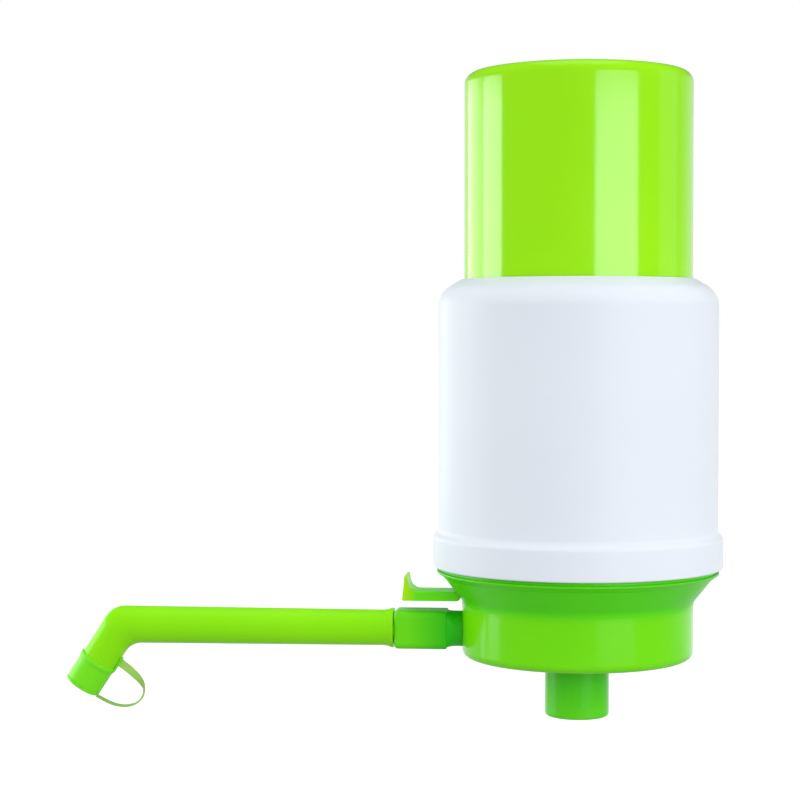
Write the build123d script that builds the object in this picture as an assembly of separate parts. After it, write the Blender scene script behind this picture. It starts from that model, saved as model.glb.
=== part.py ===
from build123d import *
import os
from math import cos, radians, sin, tan

# Hand pump for a five-gallon water jug. Lengths are in millimetres and angles in degrees.
# The origin is on the pump's axis, at the seat where the jug's mouth meets the neck gasket.
# +Z runs up the pump's axis to the head, and the spout points along -X.

# ---- clearances ----
SEAT_GAP = 0.05            # between pieces that are fixed in each other
RUN_GAP = 0.06             # radial, between a pin or shaft and its hole
SLIDE_GAP = 0.4            # radial, between the head and the sleeve's opening
FACE_GAP = 0.3             # between moving faces that nearly meet
DROP_IN_GAP = 0.2          # radial, between a plate and the wall it drops in to

# ---- jug neck ----
NECK_R = 27.5              # crown neck of a five-gallon jug
GASKET_IN_R = NECK_R - 6.5
GASKET_OUT_R = NECK_R + 0.5
GASKET_T = 2.0

# ---- base: skirt, cone, flange and drum ----
SKIRT_R = 37.5
SKIRT_WALL = 2.2
SKIRT_DROP = 10.0          # skirt below the seat
SKIRT_RISE = 7.0           # skirt above the seat, up to the cone
SKIRT_EDGE_R = 2.6         # rounding of the skirt's bottom edge
SKIRT_LIP = 1.1            # inward lip at the skirt's bottom, which carries the clamp ring
CONE_FOOT_OUT = 0.8        # the cone's foot, beyond the skirt
CONE_FOOT_Z = 9.5
CONE_TOP_IN = 1.4          # the cone's top, inside the drum
CONE_TOP_Z = 16.0
LIP_OUT = 0.9              # the lip, beyond the drum
LIP_Z = 17.4
LIP_T = 1.0
DRUM_STEP = 1.7            # the drum is that much wider than its neck
DRUM_Z = 27.0
DRUM_WALL = 2.3
DRUM_NECK_GAP = 0.35       # between the drum's neck and the sleeve's wall
DRUM_TOP_Z = 31.0
DRUM_NECK_WALL = 2.0
DECK_T = 1.5
LEDGE_W = 7.6              # width of the valve plate's seat
LEDGE_Z = 25.0             # seat of the valve plate's gasket
LEDGE_T = 2.4
SNAP_Z = 22.0
SNAP_H = 2.0
SNAP_D = 0.7

# ---- water manifold ----
STUB_R = 10.4
STUB_Z = -29.35
STUB_EDGE_R = 1.1
DIP_BORE_R = 7.0           # takes a 14 mm dip tube
DIP_BORE_L = 20.0
RISER_R = 5.4
HUB_R = 12.8
DUCT_HALF_W = 6.2
DUCT_H = 5.6
DUCT_WALL = 1.3
WELL_GAP = 0.9             # between the neck gasket and the well
WELL_HALF_W = 7.2
EAR_R = 3.2
EAR_Y = 15.6
EAR_T = 3.0
EAR_BOSS_R = 2.8
BOSS_FLOOR = 1.0           # plastic left at the bottom of a screw's hole
AIR_HOLE_R = 2.2
AIR_HOLE_PCD_R = 15.8
AIR_HOLE_ANGLES = (0, 55, 125, 235, 305)
SEAL_T = 0.8
SEAL_IN = 0.5              # from the hub's rim in to the seal

# ---- spout socket ----
SPOUT_Z = -1.5             # axis of the spout
BOX_Z = -1.6               # middle of the box's height
NECK_L = 4.8               # from the skirt out to the box
BOX_L = 17.3
BOX_SIDE = 12.5
BOX_CORNER_R = 2.2
SOCKET_BORE_R = 5.05
SOCKET_DEPTH = 13.6
SPIGOT_R = 5.6
SPIGOT_REACH = 1.6         # of the spigot, inside the skirt's wall
BOX_LEFT_EDGE_R = 1.4
BOX_RIGHT_EDGE_R = 0.6
NECK_TUBE_R = 5.8
NECK_ROOT_L = 2.4
NECK_ROOT_SIDE = 11.9
PASSAGE_R = 4.2
RING_GROOVE = 0.7          # depth of every seal ring's groove
SOCKET_SEAL_IN = 0.7       # from the skirt's outside in to the groove
SOCKET_SEAL_W = 1.0

# ---- spout tube ----
TUBE_NEAR_R = 5.83         # outside radius by the box
TUBE_FAR_R = 6.15          # outside radius at the bend
TUBE_BORE_R = 4.4
SEAL_FIRST = 3.0           # from the plugged-in end to the first ring's groove
SEAL_PITCH = 4.0
SPOUT_SEAL_W = 1.0
PLUG_BORE_R = 3.3
FLARE_R = 6.5
FLARE_L = 3.2
FLARE_RIM_L = 0.6
TUBE_RUN = 91.4            # from the box to where the tube's axis and the tip's axis cross
BEND_R = 9.7
BEND_ANGLE = 57.0
TIP_L = 24.7               # from that corner to the lid's outer face
TIP_NECK_R = 5.3           # tube under the collar
TIP_SHOULDER_R = 5.75

# ---- closure ----
COLLAR_R = 6.2
COLLAR_TOP = 9.4           # heights are above the lid's outer face
COLLAR_RIDGE_R = 6.9
COLLAR_RIDGE_H = 1.0
COLLAR_RIDGE_DROP = 0.4    # the ridge starts that much under the collar's top
COLLAR_WALL_DROP = 0.2
LID_T = 0.9
LID_PLUG_R = 4.1
LID_PLUG_L = 1.5
LID_PLUG_TAPER = 0.3
LID_EDGE = 0.2
STRAP_W = 3.0
STRAP_T = 1.0
STRAP_TAB_TOP = 15.4
STRAP_TAB_OUT = 0.2        # the tab's face, beyond the collar's ridge
STRAP_ROOT_DROP = 2.2      # from the tab's top to the middle of the strap's root
STRAP_LOOP_R = 5.2
STRAP_REACH = 8.4          # how far the loop reaches from the bend towards the pump
STRAP_TURN_Z = (-20.9, -30.4)

# ---- release lever ----
LEVER_SHORT = 2.7          # the lever ends that much before the box does
LEVER_HALF_W = 6.0
LEVER_BOTTOM_Z = 8.1
LEVER_T = 3.0
LEVER_TOP_Z = 16.3
LEVER_TIP_T = 0.9
LEVER_CORNER_R = 0.6
LEVER_THUMB_L = 5.5        # length of the upturned end
LEVER_THUMB_LEAN = 0.8     # the upturned end leans in that much
PIVOT_IN = 3.0             # from the cone's foot in to the pivot
PIVOT_Z = 13.4
PIVOT_R = 1.0
BOSS_R = 1.9
ARM_HALF_W = 3.5
ARM_T = 2.0
ARM_OUT = 1.7              # from the pivot out to the arm's outer face
LINK_L = 3.3               # from the pivot out to the end of the bar
LINK_BEND = (1.3, 2.4)     # from the pivot, out and down to the bend under the link
LINK_FOOT_RISE = 1.7       # of the link's underside, above the bar's
PAD_STEM_L = 1.3
ARM_TOP_Z = 22.3
VENT_Z = 19.6
VENT_R = 1.1
VENT_SEAT_R = 1.9
PAD_R = 2.7
PAD_T = 1.4
PAD_STEM_R = 0.8
SPRING_R = 1.8
SPRING_WIRE_R = 0.22
SPRING_STUD_R = 1.2
SPRING_STUD_L = 1.0
SPRING_END_GAP = 0.1
SPRING_TURNS = 3.5

# ---- lever housing in the base ----
HOUSING_HALF_W = 8.5
POCKET_HALF_W = 6.4
POCKET_IN = 2.4            # from the pivot in to the pocket's end
POCKET_FLOOR_Z = 9.9
POCKET_TOP_Z = 23.0
HOUSING_WALL = 1.6
SLOT_IN = 0.9              # from the slot's end in to the pivot
SLOT_LOW_Z = 7.3
SLOT_HIGH_Z = 11.9
LINK_ROOM = 4.3            # room cut in the cone's wall for the lever to swing

# ---- sleeve ----
BAND_WALL = 1.8
BAND_TOP_Z = 29.8
BAND_EDGE_R = 0.5
BAND_STEP = (0.8, 0.9)     # how far the band's soft step reaches under and over its top
SLEEVE_R = 45.35
SLEEVE_WALL = 1.8
SLEEVE_Z = 19.5
SLEEVE_TOP_Z = 113.5
SHOULDER_R = 7.5
SHOULDER_SLOPE = 31.0
SHOULDER_FOOT_Z = 104.0
LIP_SEAT_Z = 109.4         # underside of the sleeve's top lip
OPENING_EDGE_R = 0.5
SNAP_PLAY = 0.2            # of the band's inner rib in the drum's groove

# ---- head ----
HEAD_STEP = 8.45           # from the sleeve's outside in to the head's
HEAD_WALL = 1.8
HEAD_TOP_Z = 179.3
HEAD_TOP_T = 2.2
HEAD_EDGE_R = 3.6
HEAD_FLANGE_GAP = 0.95     # between the flange's rim and the sleeve's wall
HEAD_FLANGE_T = 2.4
HEAD_FLANGE_BEVEL = 1.8
HEAD_BOSS_R = 3.4
HEAD_BOSS_IN = 5.7         # from the head's outside in to the boss's middle
HEAD_BOSS_H = 9.0
HEAD_RIB_HALF_W = 1.0
STOP_RING_T = 1.3
STOP_RING_W = 2.4

# ---- bellows and its plates ----
BELLOWS_GAP = 1.2          # between the bellows and the drum's neck
BELLOWS_FOLD_DEPTH = 6.0
BELLOWS_WALL = 1.1
BELLOWS_FOLDS = 8
CUFF_T = 1.5
CUFF_W = 5.4
CUFF_NECK_H = 4.0
PLATE_T = 3.0
PLATE_GASKET_T = 1.0
CLAMP_RING_GAP = 0.4
CLAMP_RING_W = 4.3
CLAMP_RING_T = 2.5
TOP_PLATE_T = 2.5

# ---- valves ----
VALVE_DISC_R = 11.5
VALVE_DISC_T = 1.2
VALVE_LIFT = 1.0
VALVE_PORT_R = 1.8
VALVE_PORT_PCD_R = 7.2
VALVE_PORTS = 6
RIVET_R = 2.0
RIVET_HEAD_R = 4.0
RIVET_HEAD_T = 1.2
RIVET_GAP = 0.1            # radial, between the rivet and the disc that slides on it

# ---- neck clamp ring ----
CLAW_GAP = 0.3             # between the claws' tips and the bead of the jug's neck
CLAW_H = 3.6
CLAW_HALF_W = 6.0
CLAW_ANGLE = 20.0
CLAWS = 8
COLLET_GAP = 0.4           # between the ring and the skirt
COLLET_WALL = 3.3
COLLET_H = 7.0
COLLET_GAP_HALF_W = 8.8

# ---- screws ----
SCREW_R = 1.5
SCREW_HEAD_R = 2.8
SCREW_HEAD_T = 1.9
SCREW_L = 10.0
SCREW_SOCKET_R = 1.2
MANIFOLD_SCREW_L = 8.0
PLATE_SCREW_HEAD_R = 1.8
PLATE_SCREW_HEAD_T = 1.0
PLATE_SCREW_SOCKET_R = 0.96
PLATE_SCREW_SOCKET_D = 0.9
PLATE_SCREW_END_GAP = 0.5  # between the screw's end and the bottom of its hole
PLATE_SCREW_IN = 3.4       # from the bellows' outside in to the screws
PLATE_SCREW_ANGLES = (45, 135, 225, 315)
SCREW_BOSS_R = 3.0
SCREW_BOSS_L = 8.0

# ---- worked out from the sizes above ----
CONE_FOOT_R = SKIRT_R + CONE_FOOT_OUT
HEAD_R = SLEEVE_R - HEAD_STEP
DRUM_NECK_R = SLEEVE_R - SLEEVE_WALL - DRUM_NECK_GAP
DRUM_R = DRUM_NECK_R + DRUM_STEP
CONE_TOP_R = DRUM_R - CONE_TOP_IN
LIP_R = DRUM_R + LIP_OUT
BAND_R = DRUM_R + FACE_GAP + BAND_WALL
PLATE_R = DRUM_NECK_R - DRUM_NECK_WALL - DROP_IN_GAP
LEDGE_IN_R = PLATE_R - LEDGE_W
HEAD_FLANGE_R = SLEEVE_R - SLEEVE_WALL - HEAD_FLANGE_GAP
HEAD_BOSS_PCD_R = HEAD_R - HEAD_BOSS_IN
BELLOWS_R = DRUM_NECK_R - DRUM_NECK_WALL - BELLOWS_GAP
BELLOWS_VALLEY_R = BELLOWS_R - BELLOWS_FOLD_DEPTH
CUFF_IN_R = BELLOWS_R - CUFF_W
CLAMP_RING_R = BELLOWS_R - BELLOWS_WALL - CLAMP_RING_GAP
CLAMP_RING_IN_R = CLAMP_RING_R - CLAMP_RING_W
TOP_PLATE_R = CLAMP_RING_R
PLATE_SCREW_PCD_R = BELLOWS_R - PLATE_SCREW_IN
CLAW_TIP_R = NECK_R + CLAW_GAP
COLLET_R = SKIRT_R - SKIRT_WALL - COLLET_GAP
COLLET_IN_R = COLLET_R - COLLET_WALL
PIVOT_X = PIVOT_IN - CONE_FOOT_R
ARM_OUT_X = PIVOT_X - ARM_OUT
POCKET_IN_X = PIVOT_X + POCKET_IN
SLOT_IN_X = PIVOT_X - SLOT_IN
LINK_ROOM_X = PIVOT_X - LINK_ROOM
SKIRT_IN_R = SKIRT_R - SKIRT_WALL
WELL_IN_X = -GASKET_OUT_R - WELL_GAP
BOX_RIGHT_X = -SKIRT_R - NECK_L
BOX_LEFT_X = BOX_RIGHT_X - BOX_L
SPIGOT_END_X = SPIGOT_REACH - SKIRT_IN_R
SOCKET_SEAL_X = SOCKET_SEAL_IN - SKIRT_R
BEND_CORNER_X = BOX_LEFT_X - TUBE_RUN
STRAP_FAR_X = BEND_CORNER_X + STRAP_REACH
LEVER_TIP_X = BOX_LEFT_X + LEVER_SHORT
LEVER_THUMB_X = LEVER_TIP_X + LEVER_THUMB_L
EAR_HOLE_L = MANIFOLD_SCREW_L - EAR_T
DECK_Z = GASKET_T
DECK_TOP_Z = DECK_Z + DECK_T
DUCT_TOP_Z = DECK_TOP_Z + DUCT_H
WELL_Z = SPOUT_Z - SPIGOT_R - DUCT_WALL - SEAT_GAP
PLATE_Z = LEDGE_Z + PLATE_GASKET_T
PLATE_TOP_Z = PLATE_Z + PLATE_T
HEAD_FLANGE_Z = LIP_SEAT_Z - STOP_RING_T - SEAT_GAP - HEAD_FLANGE_T
BELLOWS_Z = PLATE_TOP_Z
BELLOWS_TOP_Z = HEAD_FLANGE_Z
CLAMP_RING_Z = BELLOWS_Z + CUFF_T
TOP_PLATE_Z = HEAD_FLANGE_Z - CUFF_T - TOP_PLATE_T
TIP_DIR = Vector(-cos(radians(BEND_ANGLE)), 0, -sin(radians(BEND_ANGLE)))
TIP_SIDE = Vector(sin(radians(BEND_ANGLE)), 0, -cos(radians(BEND_ANGLE)))
BEND_CORNER = Vector(BEND_CORNER_X, 0, SPOUT_Z)
TIP_CENTRE = BEND_CORNER + TIP_DIR * TIP_L
BEND_TANGENT = BEND_R * tan(radians(BEND_ANGLE / 2))
BEND_START_X = BEND_CORNER_X + BEND_TANGENT
TIP_PLANE = Plane(origin=TIP_CENTRE, x_dir=TIP_SIDE, z_dir=-TIP_DIR)
ALONG_X = Rot(0, 90, 0)
ALONG_Y = Rot(90, 0, 0)
UP = (Align.CENTER, Align.CENTER, Align.MIN)


def disc(radius, low, high, x=0.0, y=0.0):
    """A cylinder about a vertical axis, between two heights."""
    return Pos(x, y, low) * Cylinder(radius, high - low, align=UP)


def ring(outer, inner, low, high):
    """A flat ring about the pump's axis."""
    return disc(outer, low, high) - disc(inner, low, high)


def block(low, high):
    """A box between two opposite corners."""
    size = [b - a for a, b in zip(low, high)]
    middle = [(a + b) / 2 for a, b in zip(low, high)]
    return Pos(*middle) * Box(*size)


def rod_x(radius, left, right, z, y=0.0):
    """A cylinder along X, between two places."""
    return Pos(left, y, z) * ALONG_X * Cylinder(radius, right - left, align=UP)


def turned(points):
    """A solid turned about the Z axis from an outline of (radius, height) points."""
    return turned_edges(Polyline(*points, close=True).edges())


def turned_edges(edges):
    """A solid turned about the Z axis from a closed outline of edges drawn as (radius, height)."""
    return revolve(Plane.XZ * make_face(edges), Axis.Z)


def on_circle(radius, angles):
    """Places on a circle about the pump's axis."""
    return [(radius * cos(radians(a)), radius * sin(radians(a))) for a in angles]


def even_angles(count, first=0.0):
    return [first + 360.0 / count * i for i in range(count)]


def screw(x, y, under_head, length, up=True):
    """A countersunk screw: its head's flat face is at under_head, its shank runs up or down."""
    head = Cone(SCREW_HEAD_R, SCREW_R, SCREW_HEAD_T, align=UP)
    body = head + disc(SCREW_R, SCREW_HEAD_T - SEAT_GAP, length)
    body -= disc(SCREW_SOCKET_R, 0, SCREW_HEAD_T / 2)
    turn = Pos(x, y, under_head) if up else Pos(x, y, under_head) * Rot(180, 0, 0)
    return turn * body


# ---- base ----
def base_outline():
    """The outside of the base from the skirt's bottom up to the drum's top, as edges and points."""
    edge = SKIRT_EDGE_R
    bottom = -SKIRT_DROP
    return [
        Line((0, bottom), (SKIRT_R - edge, bottom)),
        RadiusArc((SKIRT_R - edge, bottom), (SKIRT_R, bottom + edge), -edge),
        Line((SKIRT_R, bottom + edge), (SKIRT_R, SKIRT_RISE)),
        Spline((SKIRT_R, SKIRT_RISE), (CONE_FOOT_R, CONE_FOOT_Z),
               tangents=[(0, 1), (CONE_TOP_R - CONE_FOOT_R, CONE_TOP_Z - CONE_FOOT_Z)]),
        Line((CONE_FOOT_R, CONE_FOOT_Z), (CONE_TOP_R, CONE_TOP_Z)),
        Line((CONE_TOP_R, CONE_TOP_Z), (LIP_R - LIP_T / 2, LIP_Z)),
        RadiusArc((LIP_R - LIP_T / 2, LIP_Z), (LIP_R - LIP_T / 2, LIP_Z + LIP_T), -LIP_T / 2),
        Line((LIP_R - LIP_T / 2, LIP_Z + LIP_T), (DRUM_R, LIP_Z + LIP_T)),
        Line((DRUM_R, LIP_Z + LIP_T), (DRUM_R, SNAP_Z)),
        Line((DRUM_R, SNAP_Z), (DRUM_R - SNAP_D, SNAP_Z)),
        Line((DRUM_R - SNAP_D, SNAP_Z), (DRUM_R - SNAP_D, SNAP_Z + SNAP_H)),
        Line((DRUM_R - SNAP_D, SNAP_Z + SNAP_H), (DRUM_R, SNAP_Z + SNAP_H)),
        Line((DRUM_R, SNAP_Z + SNAP_H), (DRUM_R, DRUM_Z)),
        Line((DRUM_R, DRUM_Z), (DRUM_NECK_R, DRUM_Z + DRUM_R - DRUM_NECK_R)),
        Line((DRUM_NECK_R, DRUM_Z + DRUM_R - DRUM_NECK_R), (DRUM_NECK_R, DRUM_TOP_Z)),
        Line((DRUM_NECK_R, DRUM_TOP_Z), (0, DRUM_TOP_Z)),
        Line((0, DRUM_TOP_Z), (0, bottom)),
    ]


def base_inside():
    """The hollow between the deck and the ledge, turned: it follows the cone's inner side."""
    wall = SKIRT_WALL
    drum_in = DRUM_R - DRUM_WALL
    return turned([
        (0, DECK_TOP_Z), (SKIRT_IN_R, DECK_TOP_Z), (SKIRT_IN_R, SKIRT_RISE + wall / 2),
        (CONE_FOOT_R - wall, CONE_FOOT_Z + wall / 2), (CONE_TOP_R - wall, CONE_TOP_Z + wall / 2),
        (drum_in, LIP_Z + LIP_T), (drum_in, LEDGE_Z - LEDGE_T), (0, LEDGE_Z - LEDGE_T)])


def make_pump_base():
    """Skirt, deck, cone, flange and drum in one moulding, with the lever's housing inside."""
    envelope = turned_edges(base_outline())
    inside = base_inside()
    base = envelope - inside
    base -= disc(LEDGE_IN_R, LEDGE_Z - LEDGE_T, DRUM_TOP_Z)
    base -= disc(DRUM_NECK_R - DRUM_NECK_WALL, LEDGE_Z, DRUM_TOP_Z)
    base -= disc(SKIRT_IN_R, SKIRT_LIP - SKIRT_DROP, DECK_Z)
    base -= disc(SKIRT_IN_R - SKIRT_LIP, -SKIRT_DROP, DECK_Z)
    housing = block((-DRUM_R, -HOUSING_HALF_W, DECK_TOP_Z),
                    (POCKET_IN_X + HOUSING_WALL, HOUSING_HALF_W, LEDGE_Z - LEDGE_T / 2))
    base += housing & inside
    vent_seat = rod_x(VENT_SEAT_R, ARM_OUT_X + ARM_T + PAD_T, POCKET_IN_X + HOUSING_WALL / 2, VENT_Z)
    base += vent_seat
    for x, y in on_circle(PLATE_SCREW_PCD_R, PLATE_SCREW_ANGLES):
        base += disc(SCREW_BOSS_R, LEDGE_Z - SCREW_BOSS_L, LEDGE_Z - LEDGE_T / 2, x, y)
    for side in (-1, 1):
        base += disc(EAR_BOSS_R, DECK_Z - EAR_HOLE_L - BOSS_FLOOR, DECK_Z + DECK_T / 2, 0, side * EAR_Y)
    pocket = block((-DRUM_R, -POCKET_HALF_W, POCKET_FLOOR_Z),
                   (POCKET_IN_X, POCKET_HALF_W, POCKET_TOP_Z)) & inside
    pocket += block((ARM_OUT_X - SPRING_STUD_L - FACE_GAP, -POCKET_HALF_W, PIVOT_Z),
                    (POCKET_IN_X, POCKET_HALF_W, POCKET_TOP_Z))
    base -= pocket - vent_seat
    base -= block((-DRUM_R, -POCKET_HALF_W, SLOT_LOW_Z), (SLOT_IN_X, POCKET_HALF_W, SLOT_HIGH_Z))
    base -= block((LINK_ROOM_X, -POCKET_HALF_W, POCKET_FLOOR_Z), (POCKET_IN_X, POCKET_HALF_W, PIVOT_Z))
    base -= rod_x(VENT_R, PIVOT_X, POCKET_IN_X + HOUSING_WALL * 2, VENT_Z)
    pin = Pos(PIVOT_X, 0, PIVOT_Z) * ALONG_Y * Cylinder(PIVOT_R + SEAT_GAP, 2 * HOUSING_HALF_W)
    base -= pin
    well = block((-SKIRT_IN_R, -WELL_HALF_W - SEAT_GAP, -SKIRT_DROP),
                 (WELL_IN_X + SEAT_GAP, WELL_HALF_W + SEAT_GAP, DUCT_TOP_Z + SEAT_GAP))
    base -= well & disc(SKIRT_IN_R, -SKIRT_DROP + SKIRT_LIP, DUCT_TOP_Z + SEAT_GAP)
    base -= block((-SKIRT_IN_R, -DUCT_HALF_W - SEAT_GAP, DECK_TOP_Z),
                  (0, DUCT_HALF_W + SEAT_GAP, DUCT_TOP_Z + SEAT_GAP))
    base -= disc(STUB_R + SEAT_GAP, DECK_Z, DECK_TOP_Z)
    for x, y in on_circle(AIR_HOLE_PCD_R, AIR_HOLE_ANGLES):
        base -= disc(AIR_HOLE_R, DECK_Z, DECK_TOP_Z, x, y)
    base -= rod_x(SPIGOT_R + SEAT_GAP, -SKIRT_R, -SKIRT_IN_R + SKIRT_WALL, SPOUT_Z)
    for x, y in on_circle(PLATE_SCREW_PCD_R, PLATE_SCREW_ANGLES):
        base -= disc(SCREW_R, LEDGE_Z - SCREW_BOSS_L + BOSS_FLOOR, LEDGE_Z, x, y)
    for side in (-1, 1):
        base -= disc(SCREW_R, DECK_Z - EAR_HOLE_L, DECK_TOP_Z, 0, side * EAR_Y)
    return base


# ---- water manifold ----
def make_water_manifold():
    """Stub for the dip tube, hub on the deck, duct to the side and well down to the spout."""
    duct_z = DECK_TOP_Z + DUCT_WALL
    body = disc(STUB_R, STUB_Z, DECK_TOP_Z + DUCT_WALL)
    body = fillet(body.edges().group_by(Axis.Z)[0], STUB_EDGE_R)
    body += disc(HUB_R, DECK_TOP_Z, DUCT_TOP_Z)
    body += block((-SKIRT_IN_R, -DUCT_HALF_W, DECK_TOP_Z), (0, DUCT_HALF_W, DUCT_TOP_Z))
    body += block((-SKIRT_IN_R, -WELL_HALF_W, WELL_Z), (WELL_IN_X, WELL_HALF_W, DUCT_TOP_Z))
    body &= disc(SKIRT_IN_R - SEAT_GAP, STUB_Z, DUCT_TOP_Z)
    for side in (-1, 1):
        body += disc(EAR_R, DECK_TOP_Z, DECK_TOP_Z + EAR_T, 0, side * EAR_Y)
        body -= screw_hole(side)
    body -= ring(HUB_R - SEAL_IN, STUB_R, DECK_TOP_Z, DECK_TOP_Z + SEAL_T)
    body -= disc(DIP_BORE_R, STUB_Z, STUB_Z + DIP_BORE_L)
    body -= disc(RISER_R, STUB_Z, DUCT_TOP_Z - DUCT_WALL)
    well_out_x = -SKIRT_IN_R + DUCT_WALL
    body -= block((WELL_IN_X - DUCT_WALL, -DUCT_HALF_W + DUCT_WALL, duct_z),
                  (0, DUCT_HALF_W - DUCT_WALL, DUCT_TOP_Z - DUCT_WALL))
    body -= block((well_out_x, -WELL_HALF_W + DUCT_WALL, WELL_Z + DUCT_WALL),
                  (WELL_IN_X - DUCT_WALL, WELL_HALF_W - DUCT_WALL, DUCT_TOP_Z - DUCT_WALL))
    body -= rod_x(SPIGOT_R + SEAT_GAP, -SKIRT_R, well_out_x + DUCT_WALL / 2, SPOUT_Z)
    return body


def screw_hole(side):
    top = DECK_TOP_Z + EAR_T
    head = Pos(0, side * EAR_Y, top - SCREW_HEAD_T) * Cone(SCREW_R, SCREW_HEAD_R, SCREW_HEAD_T, align=UP)
    return head + disc(SCREW_R + SEAT_GAP, DECK_TOP_Z, top, 0, side * EAR_Y)


def make_manifold_seal_ring():
    return ring(HUB_R - SEAL_IN - SEAT_GAP, STUB_R + SEAT_GAP, DECK_TOP_Z, DECK_TOP_Z + SEAL_T)


def make_manifold_screws():
    top = DECK_TOP_Z + EAR_T
    return Compound(children=[screw(0, side * EAR_Y, top, MANIFOLD_SCREW_L, up=False) for side in (-1, 1)])


def make_neck_gasket():
    return ring(GASKET_OUT_R, GASKET_IN_R, 0, GASKET_T)


def make_neck_clamp_ring():
    """Open ring with claws that reach in to the jug's neck. It stands on the skirt's lip."""
    low = SKIRT_LIP - SKIRT_DROP + SEAT_GAP
    collet = ring(COLLET_R, COLLET_IN_R, low, low + COLLET_H)
    claws = ring((COLLET_R + COLLET_IN_R) / 2, CLAW_TIP_R, low, low + CLAW_H)
    keep = None
    for angle in even_angles(CLAWS, 180.0 / CLAWS):
        wedge = Rot(0, 0, angle) * block((0, -CLAW_HALF_W, low), (COLLET_R, CLAW_HALF_W, low + CLAW_H))
        keep = wedge if keep is None else keep + wedge
    collet += claws & keep
    collet -= block((-SKIRT_R, -COLLET_GAP_HALF_W, -SKIRT_DROP), (0, COLLET_GAP_HALF_W, DECK_Z))
    return collet


# ---- spout socket ----
def make_spout_socket():
    """Square box with the bore for the spout, a round neck, and a spigot through the skirt."""
    length = BOX_RIGHT_X - BOX_LEFT_X
    box = Pos(BOX_LEFT_X, 0, BOX_Z) * ALONG_X * extrude(
        RectangleRounded(BOX_SIDE, BOX_SIDE, BOX_CORNER_R), length)
    box = fillet(box.edges().group_by(Axis.X)[0], BOX_LEFT_EDGE_R)
    box = fillet(box.edges().group_by(Axis.X)[-1], BOX_RIGHT_EDGE_R)
    neck = rod_x(NECK_TUBE_R, BOX_RIGHT_X - BOX_RIGHT_EDGE_R, -SKIRT_IN_R, SPOUT_Z)
    neck -= disc(SKIRT_R + SEAT_GAP, -SKIRT_DROP, SKIRT_RISE)
    root = loft([
        Pos(BOX_RIGHT_X - BOX_RIGHT_EDGE_R, 0, BOX_Z) * ALONG_X
        * RectangleRounded(NECK_ROOT_SIDE, NECK_ROOT_SIDE, BOX_CORNER_R),
        Pos(BOX_RIGHT_X + NECK_ROOT_L, 0, SPOUT_Z) * ALONG_X * Circle(NECK_TUBE_R)])
    socket = box + neck + root
    socket += rod_x(SPIGOT_R, BOX_RIGHT_X, SPIGOT_END_X, SPOUT_Z)
    groove = rod_x(SPIGOT_R, SOCKET_SEAL_X, SOCKET_SEAL_X + SOCKET_SEAL_W, SPOUT_Z)
    socket -= groove - rod_x(SPIGOT_R - RING_GROOVE, -SKIRT_R, -SKIRT_IN_R, SPOUT_Z)
    socket -= rod_x(SOCKET_BORE_R, BOX_LEFT_X, BOX_LEFT_X + SOCKET_DEPTH, SPOUT_Z)
    socket -= rod_x(PASSAGE_R, BOX_LEFT_X, SPIGOT_END_X, SPOUT_Z)
    return socket


def make_socket_seal_ring():
    left = SOCKET_SEAL_X + SEAT_GAP
    right = SOCKET_SEAL_X + SOCKET_SEAL_W - SEAT_GAP
    inner = SPIGOT_R - RING_GROOVE + SEAT_GAP
    return rod_x(SPIGOT_R, left, right, SPOUT_Z) - rod_x(inner, left, right, SPOUT_Z)


# ---- spout tube ----
PLUG_R = SOCKET_BORE_R - RUN_GAP
PLUG_END_X = BOX_LEFT_X + SOCKET_DEPTH - FACE_GAP
FLARE_X = BOX_LEFT_X - FACE_GAP
SEAL_PLACES = (PLUG_END_X - SEAL_FIRST, PLUG_END_X - SEAL_FIRST - SEAL_PITCH)


def make_spout_tube():
    """Plug-in end, flare, long tube that widens a little, bend, and the tip under the collar."""
    to_left = Pos(PLUG_END_X, 0, SPOUT_Z) * Rot(0, -90, 0)
    flare = PLUG_END_X - FLARE_X
    run = PLUG_END_X - BEND_START_X
    outside = [
        Line((0, 0), (PLUG_R, 0)),
        Line((PLUG_R, 0), (PLUG_R, flare)),
        Line((PLUG_R, flare), (FLARE_R, flare)),
        Line((FLARE_R, flare), (FLARE_R, flare + FLARE_RIM_L)),
        Spline((FLARE_R, flare + FLARE_RIM_L), (TUBE_NEAR_R, flare + FLARE_L),
               tangents=[(-1, 1), (0, 1)]),
        Line((TUBE_NEAR_R, flare + FLARE_L), (TUBE_FAR_R, run)),
        Line((TUBE_FAR_R, run), (0, run)),
        Line((0, run), (0, 0)),
    ]
    straight = to_left * turned_edges(outside)
    start = Plane(origin=(BEND_START_X, 0, SPOUT_Z), x_dir=(0, 1, 0), z_dir=(-1, 0, 0))
    centre = Axis((BEND_START_X, 0, SPOUT_Z - BEND_R), (0, -1, 0))
    bend = revolve(start * Circle(TUBE_FAR_R), centre, BEND_ANGLE)
    leg_top = TIP_L - BEND_TANGENT
    leg = TIP_PLANE * turned([
        (0, LID_T), (TIP_NECK_R, LID_T), (TIP_NECK_R, COLLAR_TOP), (TIP_SHOULDER_R, COLLAR_TOP),
        (TUBE_FAR_R, leg_top), (0, leg_top)])
    tube = straight + bend + leg
    tube -= to_left * disc(PLUG_BORE_R, 0, flare)
    tube -= to_left * disc(TUBE_BORE_R, flare, run)
    tube -= revolve(start * Circle(TUBE_BORE_R), centre, BEND_ANGLE)
    tube -= TIP_PLANE * disc(TUBE_BORE_R, LID_T, leg_top)
    for x in SEAL_PLACES:
        groove = rod_x(PLUG_R, x - SPOUT_SEAL_W, x, SPOUT_Z)
        tube -= groove - rod_x(PLUG_R - RING_GROOVE, x - SPOUT_SEAL_W, x, SPOUT_Z)
    return tube


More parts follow.
